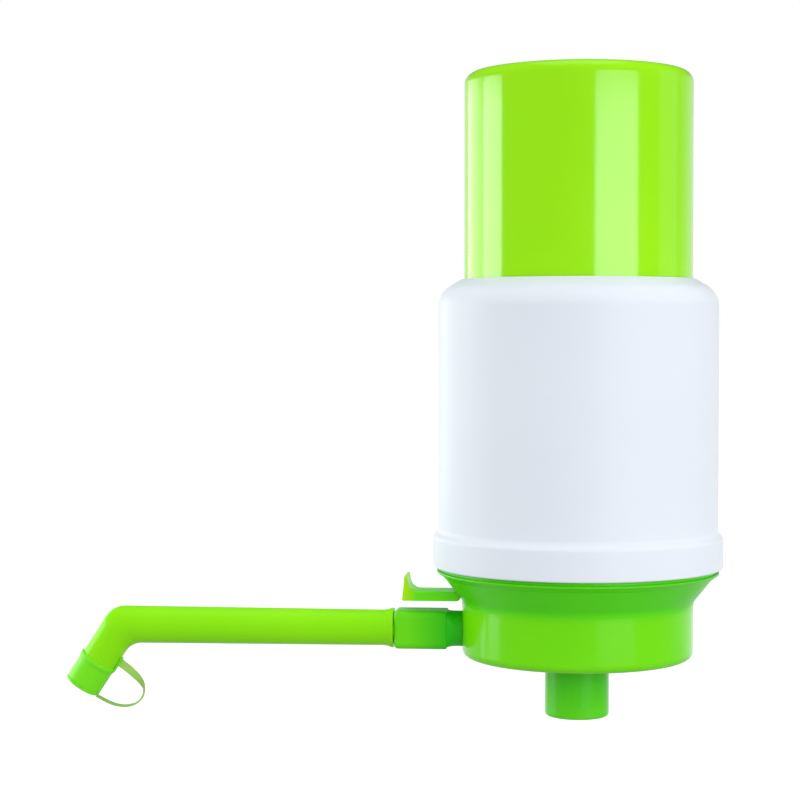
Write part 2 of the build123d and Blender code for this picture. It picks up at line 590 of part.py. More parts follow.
def make_spout_seal_rings():
    rings = []
    for x in SEAL_PLACES:
        left = x - SPOUT_SEAL_W + SEAT_GAP
        right = x - SEAT_GAP
        outer = rod_x(SOCKET_BORE_R - RUN_GAP / 2, left, right, SPOUT_Z)
        rings.append(outer - rod_x(PLUG_R - RING_GROOVE + SEAT_GAP, left, right, SPOUT_Z))
    return Compound(children=rings)


# ---- closure ----
def make_closure_collar():
    """Sleeve round the spout's end, with a raised ring and a tab that the strap grows from."""
    inner = TIP_NECK_R + SEAT_GAP
    ridge_top = COLLAR_TOP + COLLAR_RIDGE_H
    ridge_in = TIP_SHOULDER_R + DROP_IN_GAP
    ridge_low = COLLAR_TOP - COLLAR_RIDGE_DROP
    wall_top = COLLAR_TOP - COLLAR_WALL_DROP
    collar = turned([
        (inner, LID_T), (COLLAR_R, LID_T), (COLLAR_R, ridge_low), (COLLAR_RIDGE_R, ridge_low),
        (COLLAR_RIDGE_R, ridge_top), (ridge_in, ridge_top), (ridge_in, wall_top), (inner, wall_top)])
    tab = block((ridge_in, -STRAP_W / 2, ridge_low),
                (COLLAR_RIDGE_R + STRAP_TAB_OUT, STRAP_W / 2, STRAP_TAB_TOP))
    tab -= disc(TUBE_FAR_R, COLLAR_TOP, STRAP_TAB_TOP)
    return TIP_PLANE * (collar + tab)


def tip_point(side, height):
    """A point in the XZ plane, from its place beside the tip's axis and above the lid."""
    place = TIP_CENTRE + TIP_SIDE * side - TIP_DIR * height
    return (place.X, 0, place.Z)


STRAP_ROOT = tip_point(COLLAR_RIDGE_R + STRAP_TAB_OUT + SEAT_GAP, STRAP_TAB_TOP - STRAP_ROOT_DROP)
STRAP_END = tip_point(COLLAR_R + SEAT_GAP, LID_T / 2)
STRAP_CORNERS = [(STRAP_FAR_X, 0, z) for z in STRAP_TURN_Z]


def make_closure_strap():
    """Flat strap that loops from the collar's tab to the lid's edge."""
    path = FilletPolyline(STRAP_ROOT, *STRAP_CORNERS, STRAP_END, radius=STRAP_LOOP_R)
    section = Plane(origin=path @ 0, x_dir=(0, 1, 0), z_dir=path % 0) * Rectangle(STRAP_W, STRAP_T)
    return sweep(section, path) - TIP_PLANE * disc(COLLAR_R + SEAT_GAP, 0, COLLAR_TOP)


def make_closure_lid():
    """Thin disc with a short plug that fits the spout's bore."""
    lid = turned([
        (0, 0), (COLLAR_R - LID_EDGE, 0), (COLLAR_R, LID_EDGE), (COLLAR_R, LID_T), (LID_PLUG_R, LID_T),
        (LID_PLUG_R - LID_PLUG_TAPER, LID_T + LID_PLUG_L), (0, LID_T + LID_PLUG_L)])
    return TIP_PLANE * lid


# ---- release lever ----
def make_release_lever():
    """Bar with an upturned end outside, and an arm inside that carries the vent pad."""
    bar_top = LEVER_BOTTOM_Z + LEVER_T
    arm_in_x = ARM_OUT_X + ARM_T
    thumb_x = LEVER_TIP_X + LEVER_THUMB_LEAN
    link_out, link_down = LINK_BEND
    outline = [
        Line((LEVER_TIP_X, LEVER_BOTTOM_Z), (thumb_x, LEVER_TOP_Z)),
        Line((thumb_x, LEVER_TOP_Z), (thumb_x + LEVER_TIP_T, LEVER_TOP_Z)),
        Spline((thumb_x + LEVER_TIP_T, LEVER_TOP_Z), (LEVER_THUMB_X, bar_top),
               tangents=[(0.25, -1), (1, 0)]),
    ]
    link = [
        (LEVER_THUMB_X, bar_top), (PIVOT_X - LINK_L, bar_top), (PIVOT_X - BOSS_R, PIVOT_Z),
        (PIVOT_X, PIVOT_Z), (PIVOT_X, PIVOT_Z - BOSS_R), (PIVOT_X - link_out, PIVOT_Z - link_down),
        (PIVOT_X - BOSS_R, LEVER_BOTTOM_Z + LINK_FOOT_RISE), (PIVOT_X - LINK_L, LEVER_BOTTOM_Z),
        (LEVER_TIP_X, LEVER_BOTTOM_Z)]
    outline += Polyline(*link).edges()
    lever = extrude(Plane.XZ * make_face(outline), LEVER_HALF_W, both=True)
    lever = fillet(lever.edges().filter_by(Axis.X).group_by(Axis.Z)[-1], LEVER_CORNER_R)
    across = Pos(PIVOT_X, 0, PIVOT_Z) * ALONG_Y
    lever += across * Cylinder(BOSS_R, 2 * LEVER_HALF_W)
    lever += block((ARM_OUT_X, -ARM_HALF_W, PIVOT_Z), (arm_in_x, ARM_HALF_W, ARM_TOP_Z))
    lever += rod_x(SPRING_STUD_R, ARM_OUT_X - SPRING_STUD_L, ARM_OUT_X + ARM_T / 2, VENT_Z)
    lever -= across * Cylinder(PIVOT_R + RUN_GAP, 2 * LEVER_HALF_W)
    lever -= rod_x(PAD_STEM_R + SEAT_GAP, arm_in_x - PAD_STEM_L - SEAT_GAP, arm_in_x, VENT_Z)
    return lever


def make_vent_pad():
    face = ARM_OUT_X + ARM_T
    stem = rod_x(PAD_STEM_R, face - PAD_STEM_L, face + PAD_T / 2, VENT_Z)
    return rod_x(PAD_R, face, face + PAD_T, VENT_Z) + stem


def make_lever_pivot_pin():
    return Pos(PIVOT_X, 0, PIVOT_Z) * ALONG_Y * Cylinder(PIVOT_R, 2 * HOUSING_HALF_W)


def make_lever_spring():
    """Small coil spring between the drum's wall and the lever's arm."""
    left = -DRUM_R + DRUM_WALL + SPRING_WIRE_R + SPRING_END_GAP
    right = ARM_OUT_X - SPRING_WIRE_R - SEAT_GAP
    pitch = (right - left) / SPRING_TURNS
    coil = Helix(pitch, right - left, SPRING_R, center=(left, 0, VENT_Z), direction=(1, 0, 0))
    wire = Plane(origin=coil @ 0, z_dir=coil % 0) * Circle(SPRING_WIRE_R)
    return sweep(wire, coil, is_frenet=True)


# ---- sleeve and head ----
def make_outer_sleeve():
    """Shell with a rim band at the bottom and a sloped, rounded shoulder round the opening."""
    slope = radians(SHOULDER_SLOPE)
    centre_r = SLEEVE_R - SHOULDER_R
    opening_r = HEAD_R + SLIDE_GAP
    arc_r = centre_r + SHOULDER_R * sin(slope)
    arc_z = SHOULDER_FOOT_Z + SHOULDER_R * cos(slope)
    middle = radians((90 - SHOULDER_SLOPE) / 2)
    edge = OPENING_EDGE_R
    top_z = arc_z + (arc_r - opening_r - edge) * tan(slope)
    inner = SLEEVE_R - SLEEVE_WALL
    band_in = DRUM_R + FACE_GAP
    small = SHOULDER_R - SLEEVE_WALL
    small_end = (centre_r + small * sin(slope), SHOULDER_FOOT_Z + small * cos(slope))
    seat_r = small_end[0] - (LIP_SEAT_Z - small_end[1]) / tan(slope)
    step_low = BAND_TOP_Z - BAND_STEP[0]
    step_high = BAND_TOP_Z + BAND_STEP[1]
    step_in = BAND_TOP_Z - BAND_STEP[0] / 2
    rib_r = DRUM_R - SNAP_D + SNAP_PLAY
    rib_low = SNAP_Z + SNAP_PLAY
    rib_high = SNAP_Z + SNAP_H - SNAP_PLAY
    edges = [
        Line((band_in, SLEEVE_Z), (BAND_R - BAND_EDGE_R, SLEEVE_Z)),
        RadiusArc((BAND_R - BAND_EDGE_R, SLEEVE_Z), (BAND_R, SLEEVE_Z + BAND_EDGE_R), -BAND_EDGE_R),
        Line((BAND_R, SLEEVE_Z + BAND_EDGE_R), (BAND_R, step_low)),
        Spline((BAND_R, step_low), (SLEEVE_R, step_high), tangents=[(0, 1), (0, 1)]),
        Line((SLEEVE_R, step_high), (SLEEVE_R, SHOULDER_FOOT_Z)),
        ThreePointArc((SLEEVE_R, SHOULDER_FOOT_Z),
                      (centre_r + SHOULDER_R * cos(middle), SHOULDER_FOOT_Z + SHOULDER_R * sin(middle)),
                      (arc_r, arc_z)),
        Line((arc_r, arc_z), (opening_r + edge, top_z)),
        RadiusArc((opening_r + edge, top_z), (opening_r, top_z - edge), -edge),
        Line((opening_r, top_z - edge), (opening_r, LIP_SEAT_Z)),
        Line((opening_r, LIP_SEAT_Z), (seat_r, LIP_SEAT_Z)),
        Line((seat_r, LIP_SEAT_Z), small_end),
        ThreePointArc(small_end, (centre_r + small * cos(middle), SHOULDER_FOOT_Z + small * sin(middle)),
                      (inner, SHOULDER_FOOT_Z)),
        Line((inner, SHOULDER_FOOT_Z), (inner, step_in)),
        Line((inner, step_in), (band_in, step_in - (band_in - inner))),
        Line((band_in, step_in - (band_in - inner)), (band_in, rib_high)),
        Line((band_in, rib_high), (rib_r, rib_high - SNAP_PLAY)),
        Line((rib_r, rib_high - SNAP_PLAY), (band_in, rib_low)),
        Line((band_in, rib_low), (band_in, SLEEVE_Z)),
    ]
    return turned_edges(edges)


def make_head_stop_ring():
    inner = HEAD_R + SLIDE_GAP + SEAT_GAP
    return ring(inner + STOP_RING_W, inner, LIP_SEAT_Z - STOP_RING_T, LIP_SEAT_Z)


def make_press_head():
    """Deep cup with a rounded top edge, a flange at its mouth and four screw bosses inside."""
    inner = HEAD_R - HEAD_WALL
    edge = HEAD_EDGE_R
    soft = edge - HEAD_WALL
    under = HEAD_TOP_Z - HEAD_TOP_T
    bevel = HEAD_FLANGE_BEVEL
    flange_top = HEAD_FLANGE_Z + HEAD_FLANGE_T
    edges = [
        Line((inner, HEAD_FLANGE_Z), (HEAD_FLANGE_R, HEAD_FLANGE_Z)),
        Line((HEAD_FLANGE_R, HEAD_FLANGE_Z), (HEAD_FLANGE_R, flange_top - bevel)),
        Line((HEAD_FLANGE_R, flange_top - bevel), (HEAD_FLANGE_R - bevel, flange_top)),
        Line((HEAD_FLANGE_R - bevel, flange_top), (HEAD_R, flange_top)),
        Line((HEAD_R, flange_top), (HEAD_R, HEAD_TOP_Z - edge)),
        RadiusArc((HEAD_R, HEAD_TOP_Z - edge), (HEAD_R - edge, HEAD_TOP_Z), -edge),
        Line((HEAD_R - edge, HEAD_TOP_Z), (0, HEAD_TOP_Z)),
        Line((0, HEAD_TOP_Z), (0, under)),
        Line((0, under), (inner - soft, under)),
        RadiusArc((inner - soft, under), (inner, under - soft), soft),
        Line((inner, under - soft), (inner, HEAD_FLANGE_Z)),
    ]
    head = turned_edges(edges)
    for angle in PLATE_SCREW_ANGLES:
        (x, y), = on_circle(HEAD_BOSS_PCD_R, [angle])
        low = HEAD_FLANGE_Z + SEAT_GAP
        boss = disc(HEAD_BOSS_R, low, low + HEAD_BOSS_H, x, y)
        rib = Rot(0, 0, angle) * block((HEAD_BOSS_PCD_R, -HEAD_RIB_HALF_W, low),
                                       (inner + HEAD_WALL / 2, HEAD_RIB_HALF_W, low + HEAD_BOSS_H))
        head += boss + rib
        head -= disc(SCREW_R, HEAD_FLANGE_Z, low + HEAD_BOSS_H - BOSS_FLOOR, x, y)
    return head


# ---- bellows and plates ----
def make_bellows():
    """Rubber bellows with a flat cuff turned inwards at each end, and even folds between."""
    low = BELLOWS_Z
    high = BELLOWS_TOP_Z
    neck_in = CLAMP_RING_R + FACE_GAP
    first = low + CUFF_T + CUFF_NECK_H
    last = high - CUFF_T - CUFF_NECK_H
    pitch = (last - first) / BELLOWS_FOLDS
    outer = [(CUFF_IN_R, low), (BELLOWS_R, low), (BELLOWS_R, first)]
    inner = [(CUFF_IN_R, low + CUFF_T), (neck_in, low + CUFF_T), (neck_in, first)]
    for fold in range(BELLOWS_FOLDS):
        valley = first + pitch * (fold + 0.5)
        outer.append((BELLOWS_VALLEY_R + BELLOWS_WALL, valley))
        inner.append((BELLOWS_VALLEY_R, valley))
        outer.append((BELLOWS_R, first + pitch * (fold + 1)))
        inner.append((neck_in, first + pitch * (fold + 1)))
    outer += [(BELLOWS_R, high), (CUFF_IN_R, high)]
    inner += [(neck_in, high - CUFF_T), (CUFF_IN_R, high - CUFF_T)]
    bellows = turned(outer + inner[::-1])
    for x, y in on_circle(PLATE_SCREW_PCD_R, PLATE_SCREW_ANGLES):
        bellows -= disc(SCREW_R + SEAT_GAP, low, low + CUFF_T, x, y)
    return bellows


def plate_with_ports(radius, low, high):
    """A round plate with a ring of valve ports and a hole for the valve's rivet."""
    plate = disc(radius, low, high)
    for x, y in on_circle(VALVE_PORT_PCD_R, even_angles(VALVE_PORTS)):
        plate -= disc(VALVE_PORT_R, low, high, x, y)
    return plate - disc(RIVET_R, low, high)


def make_bellows_top_plate():
    """Plate under the head: its rim clamps the cuff, its raised middle meets the head's bosses."""
    plate = plate_with_ports(TOP_PLATE_R, TOP_PLATE_Z, TOP_PLATE_Z + TOP_PLATE_T)
    raised = ring(CUFF_IN_R - FACE_GAP, VALVE_DISC_R, TOP_PLATE_Z + TOP_PLATE_T / 2, HEAD_FLANGE_Z)
    plate += raised
    for x, y in on_circle(HEAD_BOSS_PCD_R, PLATE_SCREW_ANGLES):
        plate -= Pos(x, y, TOP_PLATE_Z) * Cone(SCREW_HEAD_R, SCREW_R, SCREW_HEAD_T, align=UP)
        plate -= disc(SCREW_R, TOP_PLATE_Z, HEAD_FLANGE_Z, x, y)
    return plate


def make_top_plate_screws():
    places = on_circle(HEAD_BOSS_PCD_R, PLATE_SCREW_ANGLES)
    return Compound(children=[screw(x, y, TOP_PLATE_Z, SCREW_L) for x, y in places])


def make_valve_plate():
    plate = plate_with_ports(PLATE_R, PLATE_Z, PLATE_TOP_Z)
    for x, y in on_circle(PLATE_SCREW_PCD_R, PLATE_SCREW_ANGLES):
        plate -= disc(SCREW_R + SEAT_GAP, PLATE_Z, PLATE_TOP_Z, x, y)
    return plate


def make_valve_plate_gasket():
    gasket = ring(PLATE_R, LEDGE_IN_R, LEDGE_Z, PLATE_Z)
    for x, y in on_circle(PLATE_SCREW_PCD_R, PLATE_SCREW_ANGLES):
        gasket -= disc(SCREW_R + SEAT_GAP, LEDGE_Z, PLATE_Z, x, y)
    return gasket


def make_bellows_clamp_ring():
    top = CLAMP_RING_Z + CLAMP_RING_T
    clamp = ring(CLAMP_RING_R, CLAMP_RING_IN_R, CLAMP_RING_Z, top)
    for x, y in on_circle(PLATE_SCREW_PCD_R, PLATE_SCREW_ANGLES):
        clamp -= plate_screw_head(x, y, top)
        clamp -= disc(SCREW_R + SEAT_GAP, CLAMP_RING_Z, top, x, y)
    return clamp


def plate_screw_head(x, y, top):
    """The short countersunk head of a screw whose top is flush with the clamp ring."""
    head = Cone(SCREW_R, PLATE_SCREW_HEAD_R, PLATE_SCREW_HEAD_T, align=UP)
    return Pos(x, y, top - PLATE_SCREW_HEAD_T) * head


def make_valve_plate_screws():
    top = CLAMP_RING_Z + CLAMP_RING_T
    length = top - (LEDGE_Z - SCREW_BOSS_L + BOSS_FLOOR + PLATE_SCREW_END_GAP)
    screws = []
    for x, y in on_circle(PLATE_SCREW_PCD_R, PLATE_SCREW_ANGLES):
        body = disc(SCREW_R, top - length, top, x, y) + plate_screw_head(x, y, top)
        screws.append(body - disc(PLATE_SCREW_SOCKET_R, top - PLATE_SCREW_SOCKET_D, top, x, y))
    return Compound(children=screws)


def valve_disc(seat):
    """Rubber disc that hangs against the underside of a plate."""
    low = seat - VALVE_DISC_T
    return disc(VALVE_DISC_R, low, seat) - disc(RIVET_R + RIVET_GAP, low, seat)


def valve_rivet(seat, top):
    """Rivet through a plate, with a head below that stops the disc and a head on top."""
    low = seat - VALVE_DISC_T - VALVE_LIFT - SEAT_GAP
    rivet = disc(RIVET_R, low - RIVET_HEAD_T, top + RIVET_HEAD_T)
    rivet += disc(RIVET_HEAD_R, low - RIVET_HEAD_T, low)
    return rivet + disc(RIVET_HEAD_R, top, top + RIVET_HEAD_T)


def make_intake_valve_disc():
    return valve_disc(TOP_PLATE_Z)


def make_intake_valve_rivet():
    return valve_rivet(TOP_PLATE_Z, TOP_PLATE_Z + TOP_PLATE_T)


def make_delivery_valve_disc():
    return valve_disc(PLATE_Z)


def make_delivery_valve_rivet():
    return valve_rivet(PLATE_Z, PLATE_TOP_Z)


NODES = {
    "press_head": make_press_head,
    "bellows_top_plate": make_bellows_top_plate,
    "top_plate_screws": make_top_plate_screws,
    "intake_valve_disc": make_intake_valve_disc,
    "intake_valve_rivet": make_intake_valve_rivet,
    "bellows": make_bellows,
    "bellows_clamp_ring": make_bellows_clamp_ring,
    "valve_plate": make_valve_plate,
    "valve_plate_gasket": make_valve_plate_gasket,
    "valve_plate_screws": make_valve_plate_screws,
    "delivery_valve_disc": make_delivery_valve_disc,
    "delivery_valve_rivet": make_delivery_valve_rivet,
    "outer_sleeve": make_outer_sleeve,
    "head_stop_ring": make_head_stop_ring,
    "pump_base": make_pump_base,
    "water_manifold": make_water_manifold,
    "manifold_seal_ring": make_manifold_seal_ring,
    "manifold_screws": make_manifold_screws,
    "neck_gasket": make_neck_gasket,
    "neck_clamp_ring": make_neck_clamp_ring,
    "spout_socket": make_spout_socket,
    "socket_seal_ring": make_socket_seal_ring,
    "spout_tube": make_spout_tube,
    "spout_seal_rings": make_spout_seal_rings,
    "closure_collar": make_closure_collar,
    "closure_strap": make_closure_strap,
    "closure_lid": make_closure_lid,
    "release_lever": make_release_lever,
    "vent_pad": make_vent_pad,
    "lever_pivot_pin": make_lever_pivot_pin,
    "lever_spring": make_lever_spring,
}

os.makedirs("parts", exist_ok=True)
for name, make in NODES.items():
    export_step(make(), f"parts/{name}.step")
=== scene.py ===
# %% [markdown]
# # A hand pump for a large water jug
# The pump sits on the neck of a jug. Pressing its tall cap squeezes a rubber bellows, the air goes
# into the jug, and water comes up a dip tube and out of the side spout. Nearly everything that
# shows is injection-moulded plastic: a white sleeve between lime green and leaf green pieces.
#
# The engineering model is loaded first. Its bodies carry the motion, so each piece made here
# only has to ride on one of them. Blender works in metres here, and `MM` turns millimetres
# into them, so that every length below can be written as it would be on a drawing.

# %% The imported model
import math
import bmesh
import bpy
from mathutils import Matrix, Vector


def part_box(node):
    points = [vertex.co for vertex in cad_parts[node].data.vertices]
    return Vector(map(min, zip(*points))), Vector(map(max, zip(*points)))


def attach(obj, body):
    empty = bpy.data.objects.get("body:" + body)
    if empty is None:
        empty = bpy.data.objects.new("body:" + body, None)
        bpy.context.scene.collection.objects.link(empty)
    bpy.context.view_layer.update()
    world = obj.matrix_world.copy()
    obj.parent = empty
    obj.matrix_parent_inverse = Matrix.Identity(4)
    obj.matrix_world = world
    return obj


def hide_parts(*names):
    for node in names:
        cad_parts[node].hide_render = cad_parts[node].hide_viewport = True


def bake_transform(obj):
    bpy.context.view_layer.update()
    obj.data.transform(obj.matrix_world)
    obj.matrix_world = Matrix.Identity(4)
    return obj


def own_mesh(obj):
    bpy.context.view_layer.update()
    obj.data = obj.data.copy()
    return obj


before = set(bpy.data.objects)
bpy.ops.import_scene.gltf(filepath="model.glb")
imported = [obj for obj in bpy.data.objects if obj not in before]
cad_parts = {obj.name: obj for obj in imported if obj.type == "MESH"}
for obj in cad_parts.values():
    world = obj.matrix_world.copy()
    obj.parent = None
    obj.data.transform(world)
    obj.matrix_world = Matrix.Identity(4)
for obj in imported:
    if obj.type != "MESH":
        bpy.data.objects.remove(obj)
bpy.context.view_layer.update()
MM = 0.001

# %% [markdown]
# ## Colours and nodes
# A hex colour is what a picture editor shows, and shaders want linear values. One function
# turns one into the other. A second small function adds a node, sets it and links it, which keeps
# each material short enough to read as a recipe.

# %% Two helpers for materials
def linear(hex_colour):
    """An sRGB hex colour as linear red, green, blue and alpha."""
    channels = [int(hex_colour[i:i + 2], 16) / 255 for i in (1, 3, 5)]
    curve = [c / 12.92 if c <= 0.04045 else ((c + 0.055) / 1.055) ** 2.4 for c in channels]
    return (*curve, 1.0)


def add_node(tree, kind, links=None, values=None, **settings):
    """Adds a node. links maps an input to (node, output); values maps an input to its value."""
    node = tree.nodes.new(kind)
    for name, value in settings.items():
        setattr(node, name, value)
    for name, value in (values or {}).items():
        node.inputs[name].default_value = value
    for name, (source, output) in (links or {}).items():
        tree.links.new(source.outputs[output], node.inputs[name])
    return node


def per_metre(size_mm):
    """The scale of a texture whose features are that many millimetres apart."""
    return 1 / (size_mm * MM)


# %% [markdown]
# ## Moulded ABS
# ABS comes out of a polished mould glossy, but never like glass. Three things give it away: a
# very shallow orange peel, slow changes of tone where the melt flowed and cooled, and patches
# that are a little less shiny where hands have been. Each is a Noise Texture with its size given
# in millimetres. The real peel is about half a millimetre wide, and it is drawn at 1.2 mm
# so that it still shows from arm's length.

# %% Moulded plastics
PEEL_MM = 1.2
PEEL_DEPTH_MM = 0.02
FLOW_MM = 38.0
FLOW_SPREAD = (0.3, 0.75)
HANDLING_MM = 9.0
HANDLING_SPREAD = (0.35, 0.7)
ABS_IOR = 1.52


def moulded_plastic(name, colour, flow_colour, roughness, peel, shine=0.5, uneven=0.1, ior=ABS_IOR):
    """A moulded plastic: two close tones, uneven gloss and a shallow orange peel."""
    material = bpy.data.materials.new(name)
    material.use_nodes = True
    tree = material.node_tree
    shader = tree.nodes["Principled BSDF"]
    where = add_node(tree, "ShaderNodeTexCoord")
    flow = add_node(tree, "ShaderNodeTexNoise", {"Vector": (where, "Object")},
                    {"Scale": per_metre(FLOW_MM), "Detail": 2.0, "Roughness": 0.45})
    tone = add_node(tree, "ShaderNodeValToRGB", {"Fac": (flow, "Fac")})
    for element, position, shade in zip(tone.color_ramp.elements, FLOW_SPREAD, (colour, flow_colour)):
        element.position = position
        element.color = linear(shade)
    handling = add_node(tree, "ShaderNodeTexNoise", {"Vector": (where, "Object")},
                        {"Scale": per_metre(HANDLING_MM), "Detail": 3.0})
    gloss = add_node(tree, "ShaderNodeMapRange", {"Value": (handling, "Fac")},
                     {"From Min": HANDLING_SPREAD[0], "From Max": HANDLING_SPREAD[1],
                      "To Min": roughness * (1 - uneven), "To Max": roughness * (1 + uneven)})
    skin = add_node(tree, "ShaderNodeTexNoise", {"Vector": (where, "Object")},
                    {"Scale": per_metre(PEEL_MM), "Detail": 1.0})
    bump = add_node(tree, "ShaderNodeBump", {"Height": (skin, "Fac")},
                    {"Strength": peel, "Distance": PEEL_DEPTH_MM * MM})
    tree.links.new(tone.outputs["Color"], shader.inputs["Base Color"])
    tree.links.new(gloss.outputs["Result"], shader.inputs["Roughness"])
    tree.links.new(bump.outputs["Normal"], shader.inputs["Normal"])
    shader.inputs["IOR"].default_value = ior
    shader.inputs["Specular IOR Level"].default_value = shine
    print("material:", name, colour, "roughness", roughness)
    return material


lime_abs = moulded_plastic("lime ABS, polished mould", "#95E70A", "#9DEB10", roughness=0.12, peel=0.35)
spring_abs = moulded_plastic("spring green ABS, polished mould", "#86E40C", "#8EE812",
                             roughness=0.2, peel=0.2, shine=0.12)
leaf_abs = moulded_plastic("leaf green ABS, polished mould", "#68DC0C", "#6EE010",
                           roughness=0.36, peel=0.15, shine=0.2)
# Painted shade: the dip-tube stub's plastic is the leaf green, darkened where the skirt shades it.
stub_painted_shade_abs = moulded_plastic("leaf green ABS in painted shade, polished mould", "#3AC408", "#42CA0C",
                           roughness=0.26, peel=0.15, shine=0.3)
# Painted shade: the base colour is darkened for the cone, which lies in the sleeve's shade.
base_abs = moulded_plastic("leaf green ABS, thin at the skirt", "#4ED208", "#56D70B",
                           roughness=0.3, peel=0.08, shine=0.24, uneven=0.03)
lever_abs = moulded_plastic("leaf green ABS, painted light on the thumb", "#64EA06", "#70EE0A",
                            roughness=0.3, peel=0.3, shine=0.2)
white_abs = moulded_plastic("white ABS, polished mould", "#DEE5EE", "#E0E7F0",
                            roughness=0.34, peel=0.03, shine=0.1, uneven=0.02)

# %% [markdown]
# Palms press on the cap's flat top, so there the polish wears down to a satin. The worn part is
# the part that faces up, and the object's own normal says which part that is.

# %% The worn top of the cap
WORN_FACING = (0.9, 1.0)
WORN_ROUGHNESS = 0.34
lime_tree = lime_abs.node_tree
lime_shader = lime_tree.nodes["Principled BSDF"]
lime_gloss = lime_shader.inputs["Roughness"].links[0].from_node
lime_normal = add_node(lime_tree, "ShaderNodeTexCoord")
lime_axes = add_node(lime_tree, "ShaderNodeSeparateXYZ", {"Vector": (lime_normal, "Normal")})
wear = add_node(lime_tree, "ShaderNodeMapRange", {"Value": (lime_axes, "Z")},
                {"From Min": WORN_FACING[0], "From Max": WORN_FACING[1], "To Max": WORN_ROUGHNESS})
worn_gloss = add_node(lime_tree, "ShaderNodeMath", {0: (lime_gloss, "Result"), 1: (wear, "Result")},
                      operation="ADD")
lime_tree.links.new(worn_gloss.outputs["Value"], lime_shader.inputs["Roughness"])
print("up to", WORN_ROUGHNESS, "rougher where the cap faces up")

# %% [markdown]
# Some light and shade is painted into these colours. The base's skirt and the lever's thumb piece
# are painted lighter and more yellow, as painted light. The base's cone keeps a darker colour, and the
# neck behind the spout's box and the top of the dip-tube stub are painted darker, as painted shade.
# The place along one axis tells one from the other, and a Mix node goes from tone to tone. That node
# has a set of sockets for each kind of data, so its colour sockets are picked by number.

# %% Painted light and shade
MIX_FACTOR, MIX_FROM, MIX_TO, MIX_RESULT = 0, 6, 7, 2


def change_tone(material, axis, start, end, colour, smoother=0.0):
    """Changes a moulding's tone from one place on an axis to another, in millimetres."""
    tree = material.node_tree
    shader = tree.nodes["Principled BSDF"]
    tone = shader.inputs["Base Color"].links[0].from_node
    gloss = shader.inputs["Roughness"].links[0].from_node
    where = add_node(tree, "ShaderNodeTexCoord")
    axes = add_node(tree, "ShaderNodeSeparateXYZ", {"Vector": (where, "Object")})
    change = add_node(tree, "ShaderNodeMapRange", {"Value": (axes, axis)},
                      {"From Min": start * MM, "From Max": end * MM})
    tint = add_node(tree, "ShaderNodeMix", {MIX_FACTOR: (change, "Result"), MIX_FROM: (tone, "Color")},
                    {MIX_TO: linear(colour)}, data_type="RGBA")
    tree.links.new(tint.outputs[MIX_RESULT], shader.inputs["Base Color"])
    polish = add_node(tree, "ShaderNodeMath", {0: (change, "Result"), 2: (gloss, "Result")}, {1: -smoother},
                      operation="MULTIPLY_ADD")
    tree.links.new(polish.outputs["Value"], shader.inputs["Roughness"])
    print("the tone of", material.name, "changes from", start, "to", end, "mm on", axis)


# Painted light: the skirt below the cone is painted lighter and yellower. The smoother gloss there is real.
change_tone(base_abs, "Z", start=8.5, end=5.5, colour="#70DC04", smoother=0.14)
# Painted light: the thumb piece is painted lighter and yellower where it catches the light.
change_tone(lever_abs, "X", start=-52.0, end=-55.5, colour="#ACEE08")
# Painted shade: the spout's box is painted darker towards the skirt, and its neck darkest, where shade
# falls between box and skirt.
change_tone(leaf_abs, "X", start=-55.0, end=-41.0, colour="#2AC60A")
# Painted shade: the stub is darkest at the top, under the skirt, and painted lighter towards its lower end.
change_tone(stub_painted_shade_abs, "Z", start=-14.0, end=-27.0, colour="#58D80C")

# %% [markdown]
# Softer pieces come from other plastics. The collar and lid are LDPE, which is waxy and less
# shiny. The strap between them is the same plastic moulded so thin that light passes through it.
# The plates inside are natural polypropylene.

# %% Soft and natural plastics
LDPE_IOR = 1.51
PP_IOR = 1.49
STRAP_LIGHT_THROUGH = 0.45
soft_ldpe = moulded_plastic("green LDPE, soft moulding", "#70E412", "#7AE818",
                            roughness=0.36, peel=0.4, shine=0.25, ior=LDPE_IOR)
inner_pp = moulded_plastic("natural polypropylene", "#DCDDD8", "#E4E5E0",
                           roughness=0.38, peel=0.6, ior=PP_IOR)
strap_ldpe = moulded_plastic("thin pale LDPE strap", "#AEE85C", "#BCEC74",
                             roughness=0.32, peel=0.4, ior=LDPE_IOR)
strap_shader = strap_ldpe.node_tree.nodes["Principled BSDF"]
strap_shader.inputs["Transmission Weight"].default_value = STRAP_LIGHT_THROUGH

# %% [markdown]
# ## Rubber and steel
# The bellows and seals are black EPDM rubber with a matt skin; the valve flaps, the vent pad and the
# jug gasket are grey silicone. Screws, pin and spring are stainless steel wire and bar, whose
# drawing marks make the shine uneven.

# %% Rubber
RUBBER_GRAIN_MM = 0.8
RUBBER_GRAIN_DEPTH_MM = 0.05
RUBBER_IOR = 1.5
DUST_SPREAD = (0.4, 0.8)


